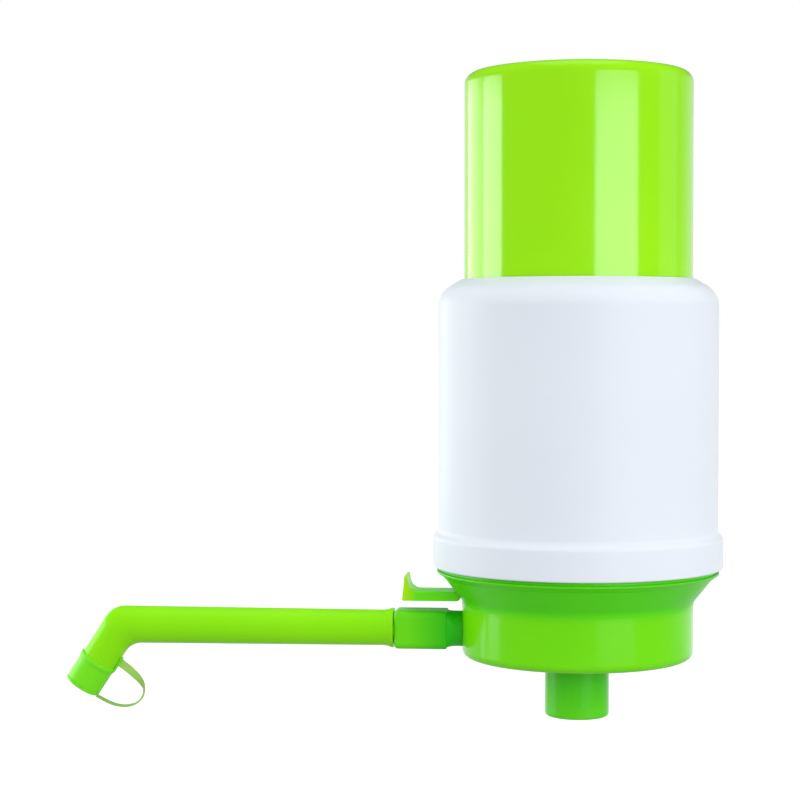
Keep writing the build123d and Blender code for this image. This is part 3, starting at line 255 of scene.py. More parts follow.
def matt_rubber(name, colour, worn_colour, roughness):
    """Rubber from a blasted mould: fine grain, dull shine and faintly dusty patches."""
    material = bpy.data.materials.new(name)
    material.use_nodes = True
    tree = material.node_tree
    shader = tree.nodes["Principled BSDF"]
    where = add_node(tree, "ShaderNodeTexCoord")
    patches = add_node(tree, "ShaderNodeTexNoise", {"Vector": (where, "Object")},
                       {"Scale": per_metre(HANDLING_MM), "Detail": 4.0})
    tone = add_node(tree, "ShaderNodeValToRGB", {"Fac": (patches, "Fac")})
    for element, position, shade in zip(tone.color_ramp.elements, DUST_SPREAD, (colour, worn_colour)):
        element.position = position
        element.color = linear(shade)
    grain = add_node(tree, "ShaderNodeTexNoise", {"Vector": (where, "Object")},
                     {"Scale": per_metre(RUBBER_GRAIN_MM), "Detail": 2.0})
    bump = add_node(tree, "ShaderNodeBump", {"Height": (grain, "Fac")},
                    {"Strength": 0.5, "Distance": RUBBER_GRAIN_DEPTH_MM * MM})
    tree.links.new(tone.outputs["Color"], shader.inputs["Base Color"])
    tree.links.new(bump.outputs["Normal"], shader.inputs["Normal"])
    shader.inputs["Roughness"].default_value = roughness
    shader.inputs["IOR"].default_value = RUBBER_IOR
    print("material:", name, colour, "roughness", roughness)
    return material


black_rubber = matt_rubber("black EPDM rubber", "#17181A", "#2A2B2C", roughness=0.6)
grey_silicone = matt_rubber("grey silicone rubber", "#8C9090", "#A0A4A3", roughness=0.5)

# %% Stainless steel
WIRE_MARK_MM = 0.5
STEEL_ROUGHNESS = (0.18, 0.42)
STEEL_COLOUR = "#C9C8C3"
steel = bpy.data.materials.new("stainless steel, drawn")
steel.use_nodes = True
steel_tree = steel.node_tree
steel_shader = steel_tree.nodes["Principled BSDF"]
steel_where = add_node(steel_tree, "ShaderNodeTexCoord")
steel_marks = add_node(steel_tree, "ShaderNodeTexNoise", {"Vector": (steel_where, "Object")},
                       {"Scale": per_metre(WIRE_MARK_MM), "Detail": 3.0})
steel_gloss = add_node(steel_tree, "ShaderNodeMapRange", {"Value": (steel_marks, "Fac")},
                       {"To Min": STEEL_ROUGHNESS[0], "To Max": STEEL_ROUGHNESS[1]})
steel_tree.links.new(steel_gloss.outputs["Result"], steel_shader.inputs["Roughness"])
steel_shader.inputs["Base Color"].default_value = linear(STEEL_COLOUR)
steel_shader.inputs["Metallic"].default_value = 1.0
print("material:", steel.name, STEEL_COLOUR, "roughness", STEEL_ROUGHNESS)

# %% [markdown]
# ## Turned shapes
# A mould for a round piece is cut on a lathe, and the same idea makes its mesh: draw half of the
# section, round its corners, and spin it about the axis. `turned` takes the outline as
# (radius, height, rounding) in millimetres. An outline whose ends lie on the axis is left
# open, because the axis closes it; any other is a closed loop.

# %% A lathe for meshes
TURN_STEPS = 160
ROUND_STEPS = 6
SHARP_ABOVE = math.radians(40)
DOUBLES_WITHIN = 0.001 * MM
CUT_WITHIN = 0.0001 * MM


def rounded_outline(bm, outline, closed):
    """Draws an outline of (radius, height, rounding) in the XZ plane and rounds its corners."""
    corners = [bm.verts.new((radius * MM, 0, height * MM)) for radius, height, rounding in outline]
    pairs = zip(corners, corners[1:] + corners[:1] if closed else corners[1:])
    for first, second in pairs:
        bm.edges.new((first, second))
    for corner, (radius, height, rounding) in zip(corners, outline):
        if rounding:
            arms = [(edge.other_vert(corner).co - corner.co).normalized() for edge in corner.link_edges]
            turn = math.pi - arms[0].angle(arms[1])
            bmesh.ops.bevel(bm, geom=[corner], offset=rounding * MM * math.tan(turn / 2),
                            offset_type="OFFSET", segments=ROUND_STEPS, profile=0.5, affect="VERTICES",
                            material=-1)


def turned(outline, steps=TURN_STEPS):
    """A bmesh turned about Z from an outline of (radius, height, rounding) in millimetres."""
    bm = bmesh.new()
    closed = outline[0][0] > 0
    rounded_outline(bm, outline, closed)
    bmesh.ops.spin(bm, geom=bm.verts[:] + bm.edges[:], cent=(0, 0, 0), axis=(0, 0, 1),
                   angle=math.tau, steps=steps, use_merge=True)
    bmesh.ops.remove_doubles(bm, verts=bm.verts, dist=DOUBLES_WITHIN)
    bmesh.ops.recalc_face_normals(bm, faces=bm.faces)
    return bm


def in_the_scene(name, data):
    """Makes an object from a mesh, curve, lamp or camera and links it to the scene."""
    item = bpy.data.objects.new(name, data)
    bpy.context.scene.collection.objects.link(item)
    return item


def finished(name, bm, material, body, slot, *nodes):
    """Makes the object: smooth faces, sharp creases kept, its finish, its body and its CAD nodes."""
    for face in bm.faces:
        face.smooth = True
    for edge in bm.edges:
        edge.smooth = edge.calc_face_angle(0.0) < SHARP_ABOVE
    mesh = bpy.data.meshes.new(name)
    bm.to_mesh(mesh)
    bm.free()
    piece = in_the_scene(name, mesh)
    mesh.materials.append(material)
    even = piece.modifiers.new("even shading", "WEIGHTED_NORMAL")
    even.keep_sharp = True
    if body:
        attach(piece, body)
    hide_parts(*nodes)
    size = [round(side / MM, 1) for side in piece.dimensions]
    print(name, "faces", len(mesh.polygons), "size in mm", size)
    return piece


# %% [markdown]
# ## Flat shapes
# A bar or a tab is easier to draw from the side. `plate` fills such an outline and extrudes it across,
# and `block` is a plain box between two corners. Both get a small bevel all round, because no
# mould leaves a sharp edge, and a soft edge catches the light.

# %% Plates and blocks
EDGE_STEPS = 3


def plate(bm, outline, half_width, edge_r):
    """Adds a plate: an outline of (x, z, rounding), extruded along Y, with a soft rim."""
    before = set(bm.edges)
    rounded_outline(bm, outline, True)
    rim = [edge for edge in bm.edges if edge not in before]
    cap = bmesh.ops.contextual_create(bm, geom=rim)["faces"]
    bmesh.ops.translate(bm, verts=cap[0].verts, vec=(0, -half_width * MM, 0))
    grown = bmesh.ops.extrude_face_region(bm, geom=cap, use_keep_orig=True)["geom"]
    far = [item for item in grown if isinstance(item, bmesh.types.BMVert)]
    bmesh.ops.translate(bm, verts=far, vec=(0, 2 * half_width * MM, 0))
    rims = rim + [item for item in grown if isinstance(item, bmesh.types.BMEdge)]
    bmesh.ops.bevel(bm, geom=rims, offset=edge_r * MM, offset_type="OFFSET", segments=EDGE_STEPS,
                    profile=0.5, affect="EDGES", clamp_overlap=True, material=-1)


def block(bm, low, high, edge_r):
    """Adds a box between two corners in millimetres, with soft edges."""
    middle = Vector([(a + b) / 2 * MM for a, b in zip(low, high)])
    size = [(b - a) * MM for a, b in zip(low, high)]
    place = Matrix.Translation(middle) @ Matrix.Diagonal((*size, 1))
    corners = bmesh.ops.create_cube(bm, size=1.0, matrix=place)["verts"]
    edges = list({edge for corner in corners for edge in corner.link_edges})
    bmesh.ops.bevel(bm, geom=edges, offset=edge_r * MM, offset_type="OFFSET", segments=EDGE_STEPS,
                    profile=0.5, affect="EDGES", material=-1)


# %% [markdown]
# ## The white sleeve
# The sleeve is one deep moulding, open at both ends. Its mouth slopes outwards and rolls over into
# the wall, and a slightly wider band at the bottom hides the snap groove. The rounded
# corners matter most here: a white piece on white shows its shape only through them. The band's
# lower edge comes from the CAD box, so that it sits on the base wherever that ends.

# %% The sleeve
sleeve_low, sleeve_high = (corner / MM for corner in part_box("outer_sleeve"))
BAND_R = sleeve_high.x
BAND_BOTTOM = sleeve_low.z
BAND_H = 9.9
BAND_STEP_H = 1.7
BAND_STEP_LAG = 0.1
WALL_R = 45.35
WALL_T = 1.8
MOUTH_R = 37.3
MOUTH_SLOPE = math.radians(31)
SHOULDER_R = 7.5
SHOULDER_START = 104.0
LIP_UNDER = 109.4
DRUM_CLEAR_R = 45.2
shoulder_corner = SHOULDER_START + SHOULDER_R * math.tan((math.pi / 2 - MOUTH_SLOPE) / 2)
mouth_top = shoulder_corner + (WALL_R - MOUTH_R) * math.tan(MOUTH_SLOPE)
inner_corner = shoulder_corner - WALL_T * math.tan((math.pi / 2 - MOUTH_SLOPE) / 2)
lip_in_r = WALL_R - WALL_T - (LIP_UNDER - inner_corner) / math.tan(MOUTH_SLOPE)
band_top = BAND_BOTTOM + BAND_H
recess_top = band_top - BAND_STEP_LAG

sleeve_outline = [
    (DRUM_CLEAR_R, BAND_BOTTOM, 0.3), (BAND_R, BAND_BOTTOM, 0.6),
    (BAND_R, band_top, 1.5), (WALL_R, band_top + BAND_STEP_H, 2.0),
    (WALL_R, shoulder_corner, SHOULDER_R), (MOUTH_R, mouth_top, 0.5),
    (MOUTH_R, LIP_UNDER, 0.3), (lip_in_r, LIP_UNDER, 0),
    (WALL_R - WALL_T, inner_corner, SHOULDER_R - WALL_T), (WALL_R - WALL_T, recess_top, 0),
    (DRUM_CLEAR_R, recess_top - BAND_STEP_H, 0)]
finished("white_sleeve", turned(sleeve_outline), white_abs, "base", "white_gloss", "outer_sleeve")

# %% [markdown]
# ## The spout
# The spout is a straight tube until a heated former bends it, and it can be made the same way here:
# turn it straight, cut extra loops where the bend will be, then move every point on to the
# bent line. Pieces that sit on the spout, such as its collar and lid, use the same move, so
# they land square on the bent end without any fitting.
#
# A bend about a single centre would be sharp on the inside and wide on the outside. A hot tube
# flows, and its two sides end up with nearly the same curve. So each line along the tube turns
# about its own centre, with a radius that grows only a little from the inside to the outside.

# %% The spout's line
SPOUT_Z = -1.5
PLUG_END = -46.3
BEND_CORNER = -151.0
BEND_R = 9.7
BEND_ANGLE = math.radians(57)
TIP_FROM_CORNER = 24.7
BEND_LOOPS = 18
ELBOW_R = 7.6
ELBOW_SPREAD = 0.12
AT_THE_CUT = 0.001
bend_tangent = BEND_R * math.tan(BEND_ANGLE / 2)
bend_start = PLUG_END - (BEND_CORNER + bend_tangent)
bend_end = bend_start + BEND_R * BEND_ANGLE
tip = bend_end + TIP_FROM_CORNER - bend_tangent
print("the spout is", round(tip, 1), "mm long, its bend starts at", round(bend_start, 1))


def on_the_spout(bm):
    """Moves a bmesh on to the spout. It is turned about Z, and its height is the way along the spout."""
    for i in range(BEND_LOOPS + 1):
        height = bend_start + (bend_end - bend_start) * i / BEND_LOOPS
        geometry = bm.verts[:] + bm.edges[:] + bm.faces[:]
        bmesh.ops.bisect_plane(bm, geom=geometry, dist=CUT_WITHIN, plane_co=(0, 0, height * MM),
                               plane_no=(0, 0, 1))
    for vert in bm.verts:
        across, along = vert.co.x / MM, vert.co.z / MM
        if along < bend_start - AT_THE_CUT:
            x, z = PLUG_END - along, SPOUT_Z + across
        elif along < bend_end + AT_THE_CUT:
            radius = ELBOW_R + across * ELBOW_SPREAD
            angle = BEND_ANGLE * (along - bend_start) / (bend_end - bend_start)
            x = BEND_CORNER + (radius - across) * math.tan(BEND_ANGLE / 2) - radius * math.sin(angle)
            z = SPOUT_Z + across - radius + radius * math.cos(angle)
        else:
            leg = along - bend_end + bend_tangent
            x = BEND_CORNER - across * math.sin(BEND_ANGLE) - leg * math.cos(BEND_ANGLE)
            z = SPOUT_Z + across * math.cos(BEND_ANGLE) - leg * math.sin(BEND_ANGLE)
        vert.co = (x * MM, vert.co.y, z * MM)
    return bm


# %% The spout's tube
PLUG_R = 4.99
PLUG_BORE_R = 3.3
FLARE_START = 13.6
FLARE_R = 6.5
NEAR_R = 5.83
FAR_R = 6.15
BORE_R = 4.4
RING_GROOVES = (3.0, 7.0)
RING_GROOVE_W = 1.0
RING_GROOVE_DEPTH = 0.7
SPOUT_STEPS = 72
LID_T = 0.9
COLLAR_H = 9.4
TIP_NECK_R = 5.3
collar_start = tip - COLLAR_H
tube_outline = [(PLUG_BORE_R, 0, 0.2), (PLUG_R, 0, 0.5)]
for near_side in RING_GROOVES:
    far_side = near_side + RING_GROOVE_W
    groove_r = PLUG_R - RING_GROOVE_DEPTH
    tube_outline += [(PLUG_R, near_side, 0), (groove_r, near_side, 0),
                     (groove_r, far_side, 0), (PLUG_R, far_side, 0)]
tube_outline += [
    (PLUG_R, FLARE_START, 0), (FLARE_R, FLARE_START, 0.15), (FLARE_R, FLARE_START + 0.8, 0.3),
    (NEAR_R + 0.15, FLARE_START + 2.2, 1.2), (NEAR_R, FLARE_START + 3.4, 1.0),
    (FAR_R, bend_start, 0), (FAR_R - 0.15, collar_start - 0.3, 0.3), (TIP_NECK_R, collar_start, 0.2),
    (TIP_NECK_R, tip - LID_T, 0.2), (BORE_R, tip - LID_T, 0.2), (BORE_R, FLARE_START, 0),
    (PLUG_BORE_R, FLARE_START, 0)]
finished("spout_tube_moulding", on_the_spout(turned(tube_outline, SPOUT_STEPS)), spring_abs, "spout",
         "green_gloss", "spout_tube")

# %% [markdown]
# ## Collar and lid
# A soft collar grips the end of the spout, a thin lid with a short plug shuts it, and a flat
# strap ties the two together. On the collar's back is a tab, from which the strap starts. It is made as
# a block on the straight tube, cut into slices and wrapped round, so that it hugs the tube.

# %% Collar and lid
COLLAR_R = 6.2
RIDGE_R = 6.55
RIDGE_H = 1.1
PLUG_LID_R = 4.1
PLUG_LID_L = 1.5
TAB_L = 5.6
TAB_W = 3.0
TAB_CUTS = 6
TAB_PROUD = 0.15
TAB_OVERLAP = 0.8
COLLAR_ROOM = 0.05
COLLAR_GRIP = 0.1
collar_end = tip - LID_T
ridge_start = collar_start - RIDGE_H
neck_fit_r = TIP_NECK_R + COLLAR_ROOM
collar_in_r = FAR_R - COLLAR_GRIP
collar_outline = [
    (neck_fit_r, collar_start + 0.2, 0), (neck_fit_r, collar_end, 0.1), (COLLAR_R, collar_end, 0.25),
    (COLLAR_R, collar_start + 0.7, 0.4), (RIDGE_R, collar_start + 0.1, 0.5),
    (RIDGE_R - 0.05, ridge_start + 0.1, 0.6), (collar_in_r, ridge_start - 0.4, 0.1),
    (collar_in_r, collar_start + 0.2, 0)]
collar_mesh = turned(collar_outline, SPOUT_STEPS)
collar_verts = set(collar_mesh.verts)
block(collar_mesh, (-RIDGE_R - TAB_PROUD, -TAB_W / 2, ridge_start + TAB_OVERLAP - TAB_L),
      (-collar_in_r, TAB_W / 2, ridge_start + TAB_OVERLAP), 0.3)
for i in range(1, TAB_CUTS):
    cut_y = (i / TAB_CUTS - 0.5) * TAB_W * MM
    geometry = [item for item in collar_mesh.verts[:] + collar_mesh.edges[:] + collar_mesh.faces[:]
                if not collar_verts.intersection(item.verts if hasattr(item, "verts") else [item])]
    bmesh.ops.bisect_plane(collar_mesh, geom=geometry, dist=CUT_WITHIN, plane_co=(0, cut_y, 0),
                           plane_no=(0, 1, 0))
for vert in set(collar_mesh.verts) - collar_verts:
    around = vert.co.y / (RIDGE_R * MM)
    vert.co = (vert.co.x * math.cos(around), -vert.co.x * math.sin(around), vert.co.z)
finished("soft_collar", on_the_spout(collar_mesh), soft_ldpe, "spout", "soft_green", "closure_collar")

lid_outline = [
    (0, tip, 0), (COLLAR_R, tip, 0.3), (COLLAR_R, collar_end, 0.15), (PLUG_LID_R, collar_end, 0.1),
    (PLUG_LID_R - 0.3, collar_end - PLUG_LID_L, 0.3), (0, collar_end - PLUG_LID_L, 0)]
finished("soft_lid", on_the_spout(turned(lid_outline, SPOUT_STEPS)), soft_ldpe, "lid", "soft_green",
         "closure_lid")

# %% [markdown]
# ## Swept shapes
# A strap or a wire is a small section that follows a line, and that is what a curve object is: its
# points give the line, its bevel gives the section, and a tilt at each point turns the section. It is
# made a mesh at once, so that it can be finished like any other piece.

# %% A curve made into a mesh
CURVE_ORDER = 4
BEVEL_STEPS = 3


def swept(name, route, half_t, half_w, steps, twist):
    """A bmesh along a route of (x, y, z, tilt), in millimetres and degrees.

    half_t and half_w are half its thickness and half its width. Equal ones make a round wire.
    """
    curve = bpy.data.curves.new(name, "CURVE")
    curve.dimensions = "3D"
    curve.twist_mode = twist
    curve.extrude = (half_w - half_t) * MM
    curve.bevel_depth = half_t * MM
    curve.bevel_resolution = BEVEL_STEPS
    curve.use_fill_caps = True
    line = curve.splines.new("NURBS")
    line.points.add(len(route) - 1)
    for point, (x, y, z, tilt) in zip(line.points, route):
        point.co = (x * MM, y * MM, z * MM, 1)
        point.tilt = math.radians(tilt)
    line.order_u = CURVE_ORDER
    line.use_endpoint_u = True
    line.resolution_u = steps
    holder = in_the_scene(name, curve)
    bpy.context.view_layer.update()
    bm = bmesh.new()
    bm.from_mesh(bpy.data.meshes.new_from_object(holder))
    bpy.data.objects.remove(holder)
    bmesh.ops.remove_doubles(bm, verts=bm.verts, dist=DOUBLES_WITHIN)
    bmesh.ops.recalc_face_normals(bm, faces=bm.faces)
    return bm


# %% [markdown]
# ## The strap
# The strap leaves the collar edge up and reaches the lid lying flat, so it twists a quarter turn on
# its way round. Its points are given as (x, z, tilt), because it stays in the spout's own plane. It
# crosses the lid's hinge.

# %% The strap
STRAP_W = 2.7
STRAP_T = 0.6
STRAP_STEPS = 8
strap_points = [
    (-152.2, -14.0, 0), (-149.5, -15.9, 0), (-147.1, -17.9, 8), (-145.1, -19.9, 25), (-143.9, -21.8, 50),
    (-143.4, -23.9, 80), (-144.2, -26.3, 90), (-146.2, -28.1, 90), (-148.9, -28.9, 90), (-151.9, -28.9, 90),
    (-155.2, -28.1, 90), (-159.6, -25.6, 90)]
strap_route = [(x, 0, z, tilt) for x, z, tilt in strap_points]
strap_mesh = swept("strap line", strap_route, STRAP_T / 2, STRAP_W / 2, STRAP_STEPS, "Z_UP")
strap = finished("pale_strap", strap_mesh, strap_ldpe, None, "pale_strap", "closure_strap")
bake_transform(strap)

# %% [markdown]
# ## The release lever
# The lever is a flat bar with an upturned end for the thumb. Its outline is drawn from the side,
# filled, and extruded across, and then the rim gets the small radius that a mould leaves.
# Behind the wall it turns on a boss, which is a short turned tube laid on its side. An arm reaches
# up to the vent, and a stud on the arm carries the rubber pad that shuts it.

# %% The lever
PIVOT_X = -35.3
PIVOT_Z = 13.4
PIVOT_HOLE_R = 1.06
LEVER_BOSS_R = 1.9
LEVER_BOSS_STEPS = 48
LEVER_HALF_W = 6.0
LEVER_EDGE_R = 0.35
LEVER_LOW = 8.1
LEVER_T = 3.0
THUMB_TOP = 16.3
THUMB_X = -56.9
ARM_X = (-37.0, -35.0)
ARM_HALF_W = 3.5
ARM_Z = (14.8, 22.3)
VENT_Z = 19.6
STUD_R = 1.2
STUD_L = 1.0
STUD_SIDES = 32
STUD_SUNK = 0.2
bar_top = LEVER_LOW + LEVER_T
lever_outline = [
    (THUMB_X, LEVER_LOW, 0.5), (THUMB_X + 0.8, THUMB_TOP, 0.4), (THUMB_X + 1.7, THUMB_TOP, 0.4),
    (THUMB_X + 2.5, bar_top, 3.4), (PIVOT_X - 3.3, bar_top, 0.8), (PIVOT_X - 1.9, PIVOT_Z, 0.3),
    (PIVOT_X - 1.5, PIVOT_Z, 0), (PIVOT_X - 0.2, PIVOT_Z - 1.6, 0), (PIVOT_X - 1.3, PIVOT_Z - 2.4, 0.4),
    (PIVOT_X - 1.9, LEVER_LOW + 1.7, 0.6), (PIVOT_X - 3.3, LEVER_LOW, 0.8)]
lever_mesh = turned([(PIVOT_HOLE_R, -LEVER_HALF_W, 0.1), (LEVER_BOSS_R, -LEVER_HALF_W, 0.25),
                     (LEVER_BOSS_R, LEVER_HALF_W, 0.25), (PIVOT_HOLE_R, LEVER_HALF_W, 0.1)],
                    LEVER_BOSS_STEPS)
on_its_side = Matrix.Rotation(math.pi / 2, 3, "X")
bmesh.ops.rotate(lever_mesh, verts=lever_mesh.verts, cent=(0, 0, 0), matrix=on_its_side)
bmesh.ops.translate(lever_mesh, verts=lever_mesh.verts, vec=(PIVOT_X * MM, 0, PIVOT_Z * MM))
plate(lever_mesh, lever_outline, LEVER_HALF_W, LEVER_EDGE_R)
block(lever_mesh, (ARM_X[0], -ARM_HALF_W, ARM_Z[0]), (ARM_X[1], ARM_HALF_W, ARM_Z[1]), 0.3)
stud_middle = Vector((ARM_X[0] - STUD_L / 2 + STUD_SUNK / 2, 0, VENT_Z)) * MM
stud_place = Matrix.Translation(stud_middle) @ Matrix.Rotation(math.pi / 2, 4, "Y")
bmesh.ops.create_cone(lever_mesh, cap_ends=True, segments=STUD_SIDES, radius1=STUD_R * MM,
                      radius2=STUD_R * MM, depth=(STUD_L + STUD_SUNK) * MM, matrix=stud_place)
bmesh.ops.recalc_face_normals(lever_mesh, faces=lever_mesh.faces)
finished("thumb_lever", lever_mesh, lever_abs, "lever", "green_base", "release_lever")

# %% [markdown]
# ## The lever's spring
# A coil spring is a wire that follows a helix, and a formula gives the points of the helix.

# %% The spring
SPRING_X = (-42.28, -37.27)
SPRING_R = 1.8
WIRE_R = 0.22
WIRE_STEPS = 3
SPRING_TURNS = 3.5
POINTS_PER_TURN = 16
helix_steps = int(SPRING_TURNS * POINTS_PER_TURN)
helix = []
for i in range(helix_steps + 1):
    turn = math.tau * i / POINTS_PER_TURN
    x = SPRING_X[0] + (SPRING_X[1] - SPRING_X[0]) * i / helix_steps
    helix.append((x, SPRING_R * math.cos(turn), VENT_Z + SPRING_R * math.sin(turn), 0))
spring_mesh = swept("spring wire", helix, WIRE_R, WIRE_R, WIRE_STEPS, "MINIMUM")
spring = finished("coil_spring", spring_mesh, steel, "base", "steel", "lever_spring")
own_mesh(spring)

# %% [markdown]
# ## The bellows
# The rubber bellows is hidden while the pump is whole, and it is still made as it is: even folds of
# thin rubber with rounded creases, and a stiff neck and cuff at each end. Only the folds give way.
# Here the folds and the lower neck ride on the base, while the upper neck rides on the head. A
# hair's gap between folds and necks keeps them from cutting into each other.

# %% Folds, necks and cuffs
BELLOWS_R = 40.0
VALLEY_R = 34.0
CUFF_IN_R = 34.6
BELLOWS_WALL = 1.1
CUFF_T = 1.5
NECK_H = 4.0
FOLDS = 8
NECK_GAP = 0.1
BELLOWS_STEPS = 96
bellows_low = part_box("bellows")[0].z / MM
bellows_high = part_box("bellows")[1].z / MM
folds_low = bellows_low + CUFF_T + NECK_H
folds_high = bellows_high - CUFF_T - NECK_H
pitch = (folds_high - folds_low) / FOLDS
inner_r = BELLOWS_R - BELLOWS_WALL
outside = [(BELLOWS_R, folds_low, 0)]
inside = [(inner_r, folds_low, 0)]
for fold in range(FOLDS):
    valley = folds_low + pitch * (fold + 0.5)
    crest = folds_low + pitch * (fold + 1)
    rounding = 0.5 if fold < FOLDS - 1 else 0
    outside += [(VALLEY_R + BELLOWS_WALL, valley, 0.6), (BELLOWS_R, crest, rounding)]
    inside += [(VALLEY_R, valley, 0.9), (inner_r, crest, rounding / 2)]
folds_mesh = turned(outside + inside[::-1], BELLOWS_STEPS)
bellows_folds = finished("bellows_folds", folds_mesh, black_rubber, "base", "black_rubber", "bellows")
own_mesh(bellows_folds)


def bellows_end(name, cuff, neck, inwards, body):
    """Makes a neck of the bellows with its cuff. inwards is the cuff's inner face, towards the folds."""
    outline = [(CUFF_IN_R, cuff, 0.2), (BELLOWS_R, cuff, 0.4), (BELLOWS_R, neck, 0), (inner_r, neck, 0),
               (inner_r, inwards, 0.3), (CUFF_IN_R, inwards, 0.2)]
    finished(name, turned(outline, BELLOWS_STEPS), black_rubber, body, "black_rubber")


bellows_end("bellows_lower_neck", bellows_low, folds_low - NECK_GAP, bellows_low + CUFF_T, "base")
bellows_end("bellows_upper_neck", bellows_high, folds_high + NECK_GAP, bellows_high - CUFF_T, "head")

# %% [markdown]
# ## CAD pieces that keep their shape
# The base, the head and the small pieces inside are already right, so they keep their own meshes and
# only get a finish. A dictionary from finish to node names is easier to check than a long run
# of assignments.

# %% Finishes for the CAD pieces
finishes = {
    lime_abs: ["press_head"],
    base_abs: ["pump_base"],
    leaf_abs: ["spout_socket"],
    stub_painted_shade_abs: ["water_manifold"],
    inner_pp: ["bellows_top_plate", "valve_plate", "intake_valve_rivet", "delivery_valve_rivet",
               "bellows_clamp_ring", "neck_clamp_ring"],
    black_rubber: ["valve_plate_gasket", "head_stop_ring", "manifold_seal_ring", "socket_seal_ring",
                   "spout_seal_rings"],
    grey_silicone: ["intake_valve_disc", "delivery_valve_disc", "neck_gasket", "vent_pad"],
    steel: ["top_plate_screws", "valve_plate_screws", "manifold_screws", "lever_pivot_pin"],
}
for finish, names in finishes.items():
    for name in names:
        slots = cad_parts[name].material_slots
        for index in range(len(slots)):
            slots[index].material = finish
print("finished", sum(len(names) for names in finishes.values()), "CAD nodes")

# %% [markdown]
# ## The studio
# A glossy object shows its lights, so they are placed by what they leave on the round pieces. A wide
# softbox in front on the right gives one upright band, and two on the left give a bright band and
# a softer one beside it. Their tops are kept low, because a taller one would mirror in the
# cap's flat top and turn it white. Two strips just above the floor carry the bands on down
# the skirt. A weak softbox on the right and one overhead lift what is left.
#
# An area light's power grows with its size. `softbox` takes the brightness that its face shows
# instead, because that is what a reflection gets.

# %% Lights
def softbox(name, bearing, distance, size, low, radiance):
    """An upright area light. Its bearing is in degrees from the camera's side, to the right."""
    lamp = bpy.data.lights.new(name, "AREA")
    lamp.shape = "RECTANGLE"
    lamp.size, lamp.size_y = size
    lamp.energy = radiance * math.pi * size[0] * size[1]
    light = in_the_scene(name, lamp)
    turn = math.radians(bearing)
    light.location = (distance * math.sin(turn), -distance * math.cos(turn), low + size[1] / 2)
    light.rotation_euler = (math.pi / 2, 0, turn)
    print(name, "power", round(lamp.energy, 1), "W")


softbox("softbox front right", 38, 0.9, (0.72, 0.27), 0.02, 4.5)
softbox("softbox side left", -94.5, 0.9, (0.44, 0.27), 0.02, 5.4)
softbox("softbox behind left", -127, 0.9, (0.58, 0.33), -0.04, 2.2)
softbox("softbox low right", 38, 0.9, (0.62, 0.15), -0.155, 1.3)
softbox("softbox low left", -94.5, 0.9, (0.44, 0.15), -0.155, 2.8)
softbox("softbox side right", 100, 1.2, (0.6, 0.8), -0.1, 0.5)
OVERHEAD_SIZE = 0.9
OVERHEAD_POWER = 2.0
OVERHEAD_PLACE = (0, -0.1, 1.2)
overhead = bpy.data.lights.new("softbox overhead", "AREA")
overhead.size = OVERHEAD_SIZE
overhead.energy = OVERHEAD_POWER
in_the_scene("softbox overhead", overhead).location = OVERHEAD_PLACE

# %% [markdown]
# The world does three things, and Light Path tells them apart. Diffuse light comes evenly from all
# round. The camera sees plain white. Reflections see white paper low down behind the object
# and a dim room everywhere else, so round pieces keep their depth of colour.

# %% The world
AMBIENT = 0.92
ROOM_REFLECTED = 0.12
PAPER_REFLECTED = 0.85
PAPER_BEHIND = (0.4, 0.8)
PAPER_TOP = (0.1, 0.3)


def kinds_of_ray(tree):
    """Light Path, and a node that is 1 for what is seen in a reflection or through glass."""
    path = add_node(tree, "ShaderNodeLightPath")
    second_hand = add_node(tree, "ShaderNodeMath",
                           {0: (path, "Is Glossy Ray"), 1: (path, "Is Transmission Ray")},
                           operation="MAXIMUM")
    return path, second_hand


world = bpy.data.worlds.new("studio")
bpy.context.scene.world = world
world.use_nodes = True
world_tree = world.node_tree
world_tree.nodes.clear()
ray, mirrored = kinds_of_ray(world_tree)
direction = add_node(world_tree, "ShaderNodeTexCoord")
axes = add_node(world_tree, "ShaderNodeSeparateXYZ", {"Vector": (direction, "Generated")})
depth = add_node(world_tree, "ShaderNodeMapRange", {"Value": (axes, "Y")},
                 {"From Min": PAPER_BEHIND[0], "From Max": PAPER_BEHIND[1]})
height = add_node(world_tree, "ShaderNodeMapRange", {"Value": (axes, "Z")},
                  {"From Min": PAPER_TOP[0], "From Max": PAPER_TOP[1],
                   "To Min": PAPER_REFLECTED - ROOM_REFLECTED, "To Max": 0.0})
paper_seen = add_node(world_tree, "ShaderNodeMath", {0: (depth, "Result"), 1: (height, "Result")},
                      {2: ROOM_REFLECTED}, operation="MULTIPLY_ADD")
fill = add_node(world_tree, "ShaderNodeBackground", values={"Strength": AMBIENT})
room = add_node(world_tree, "ShaderNodeBackground", {"Strength": (paper_seen, "Value")})
paper = add_node(world_tree, "ShaderNodeBackground", values={"Strength": 1.0})
for background in (fill, room, paper):
    background.inputs["Color"].default_value = linear("#FFFFFF")
lit = add_node(world_tree, "ShaderNodeMixShader", {0: (mirrored, "Value"), 1: (fill, 0), 2: (room, 0)})
shown = add_node(world_tree, "ShaderNodeMixShader", {0: (ray, "Is Camera Ray"), 1: (lit, 0), 2: (paper, 0)})
add_node(world_tree, "ShaderNodeOutputWorld", {"Surface": (shown, "Shader")})

# %% [markdown]
# The floor is pale paper. A little glow for camera rays alone brings it up to white and leaves the
# object's shadow on it. In reflections the glow grows only with the distance behind the object,
# so the undersides of the spout and the skirt stay green.

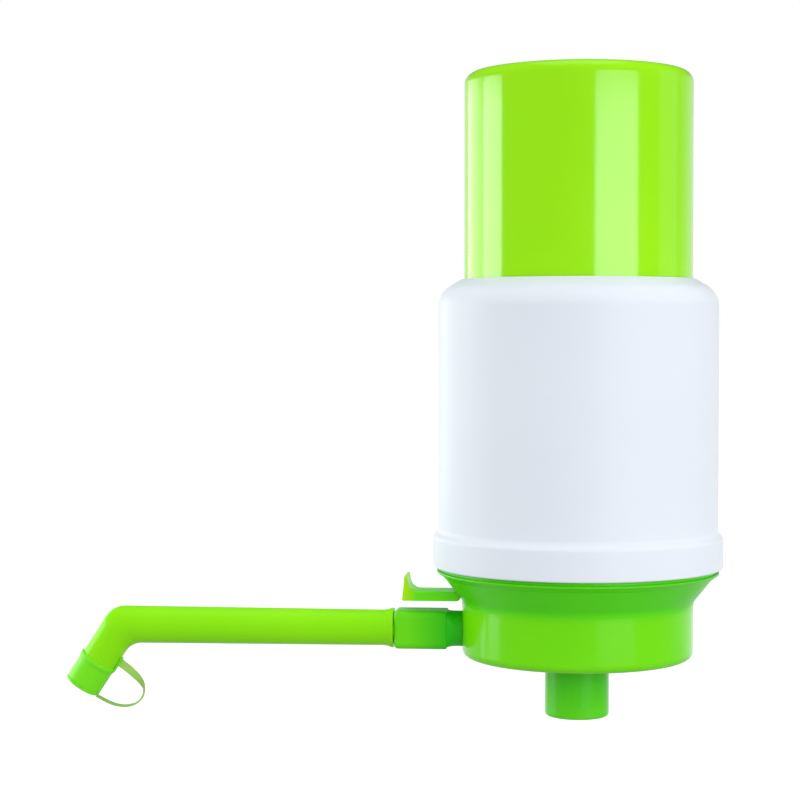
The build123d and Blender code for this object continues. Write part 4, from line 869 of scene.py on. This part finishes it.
# %% The floor
FLOOR_DROP = 0.16
FLOOR_SIZE = 40.0
FLOOR_TONE = "#ACACAC"
FLOOR_GLOW = 0.69
FLOOR_ROUGHNESS = 0.9
GLOW_BEHIND = (0.2, 0.8)
floor_mesh = bmesh.new()
bmesh.ops.create_grid(floor_mesh, x_segments=1, y_segments=1, size=FLOOR_SIZE)
bmesh.ops.translate(floor_mesh, verts=floor_mesh.verts, vec=(0, 0, -FLOOR_DROP))
floor_data = bpy.data.meshes.new("floor")
floor_mesh.to_mesh(floor_data)
floor_mesh.free()
floor = in_the_scene("floor", floor_data)
paper_floor = bpy.data.materials.new("white studio paper")
paper_floor.use_nodes = True
paper_tree = paper_floor.node_tree
paper_shader = paper_tree.nodes["Principled BSDF"]
paper_shader.inputs["Base Color"].default_value = linear(FLOOR_TONE)
paper_shader.inputs["Roughness"].default_value = FLOOR_ROUGHNESS
paper_shader.inputs["Specular IOR Level"].default_value = 0.0
paper_shader.inputs["Emission Color"].default_value = linear("#FFFFFF")
paper_ray, reflected = kinds_of_ray(paper_tree)
paper_place = add_node(paper_tree, "ShaderNodeTexCoord")
paper_axes = add_node(paper_tree, "ShaderNodeSeparateXYZ", {"Vector": (paper_place, "Object")})
paper_depth = add_node(paper_tree, "ShaderNodeMapRange", {"Value": (paper_axes, "Y")},
                       {"From Min": GLOW_BEHIND[0], "From Max": GLOW_BEHIND[1], "To Max": FLOOR_GLOW})
mirror_glow = add_node(paper_tree, "ShaderNodeMath", {0: (reflected, "Value"), 1: (paper_depth, "Result")},
                       operation="MULTIPLY")
camera_glow = add_node(paper_tree, "ShaderNodeMath", {0: (paper_ray, "Is Camera Ray")}, {1: FLOOR_GLOW},
                       operation="MULTIPLY")
glow = add_node(paper_tree, "ShaderNodeMath", {0: (camera_glow, "Value"), 1: (mirror_glow, "Value")},
                operation="MAXIMUM")
paper_tree.links.new(glow.outputs["Value"], paper_shader.inputs["Emission Strength"])
floor_data.materials.append(paper_floor)

# %% [markdown]
# ## The camera
# The camera stands in front of the body, level with the middle of the sleeve. It looks down by about
# two degrees, and it is turned a few degrees to the left, so that body and spout both fit in a
# square frame. The long lens keeps the perspective mild.

# %% The camera
LENS_MM = 90
SENSOR_MM = 36
CAMERA_PLACE = (0, -0.6526, 0.09465)
LOOKS_DOWN = math.radians(1.86)
TURNED_LEFT = math.radians(5.08)
camera_data = bpy.data.cameras.new("camera")
camera_data.lens = LENS_MM
camera_data.sensor_width = SENSOR_MM
camera = in_the_scene("camera", camera_data)
camera.location = CAMERA_PLACE
camera.rotation_euler = (math.pi / 2 - LOOKS_DOWN, 0, TURNED_LEFT)
bpy.context.scene.camera = camera
bpy.context.scene.view_settings.view_transform = "Standard"
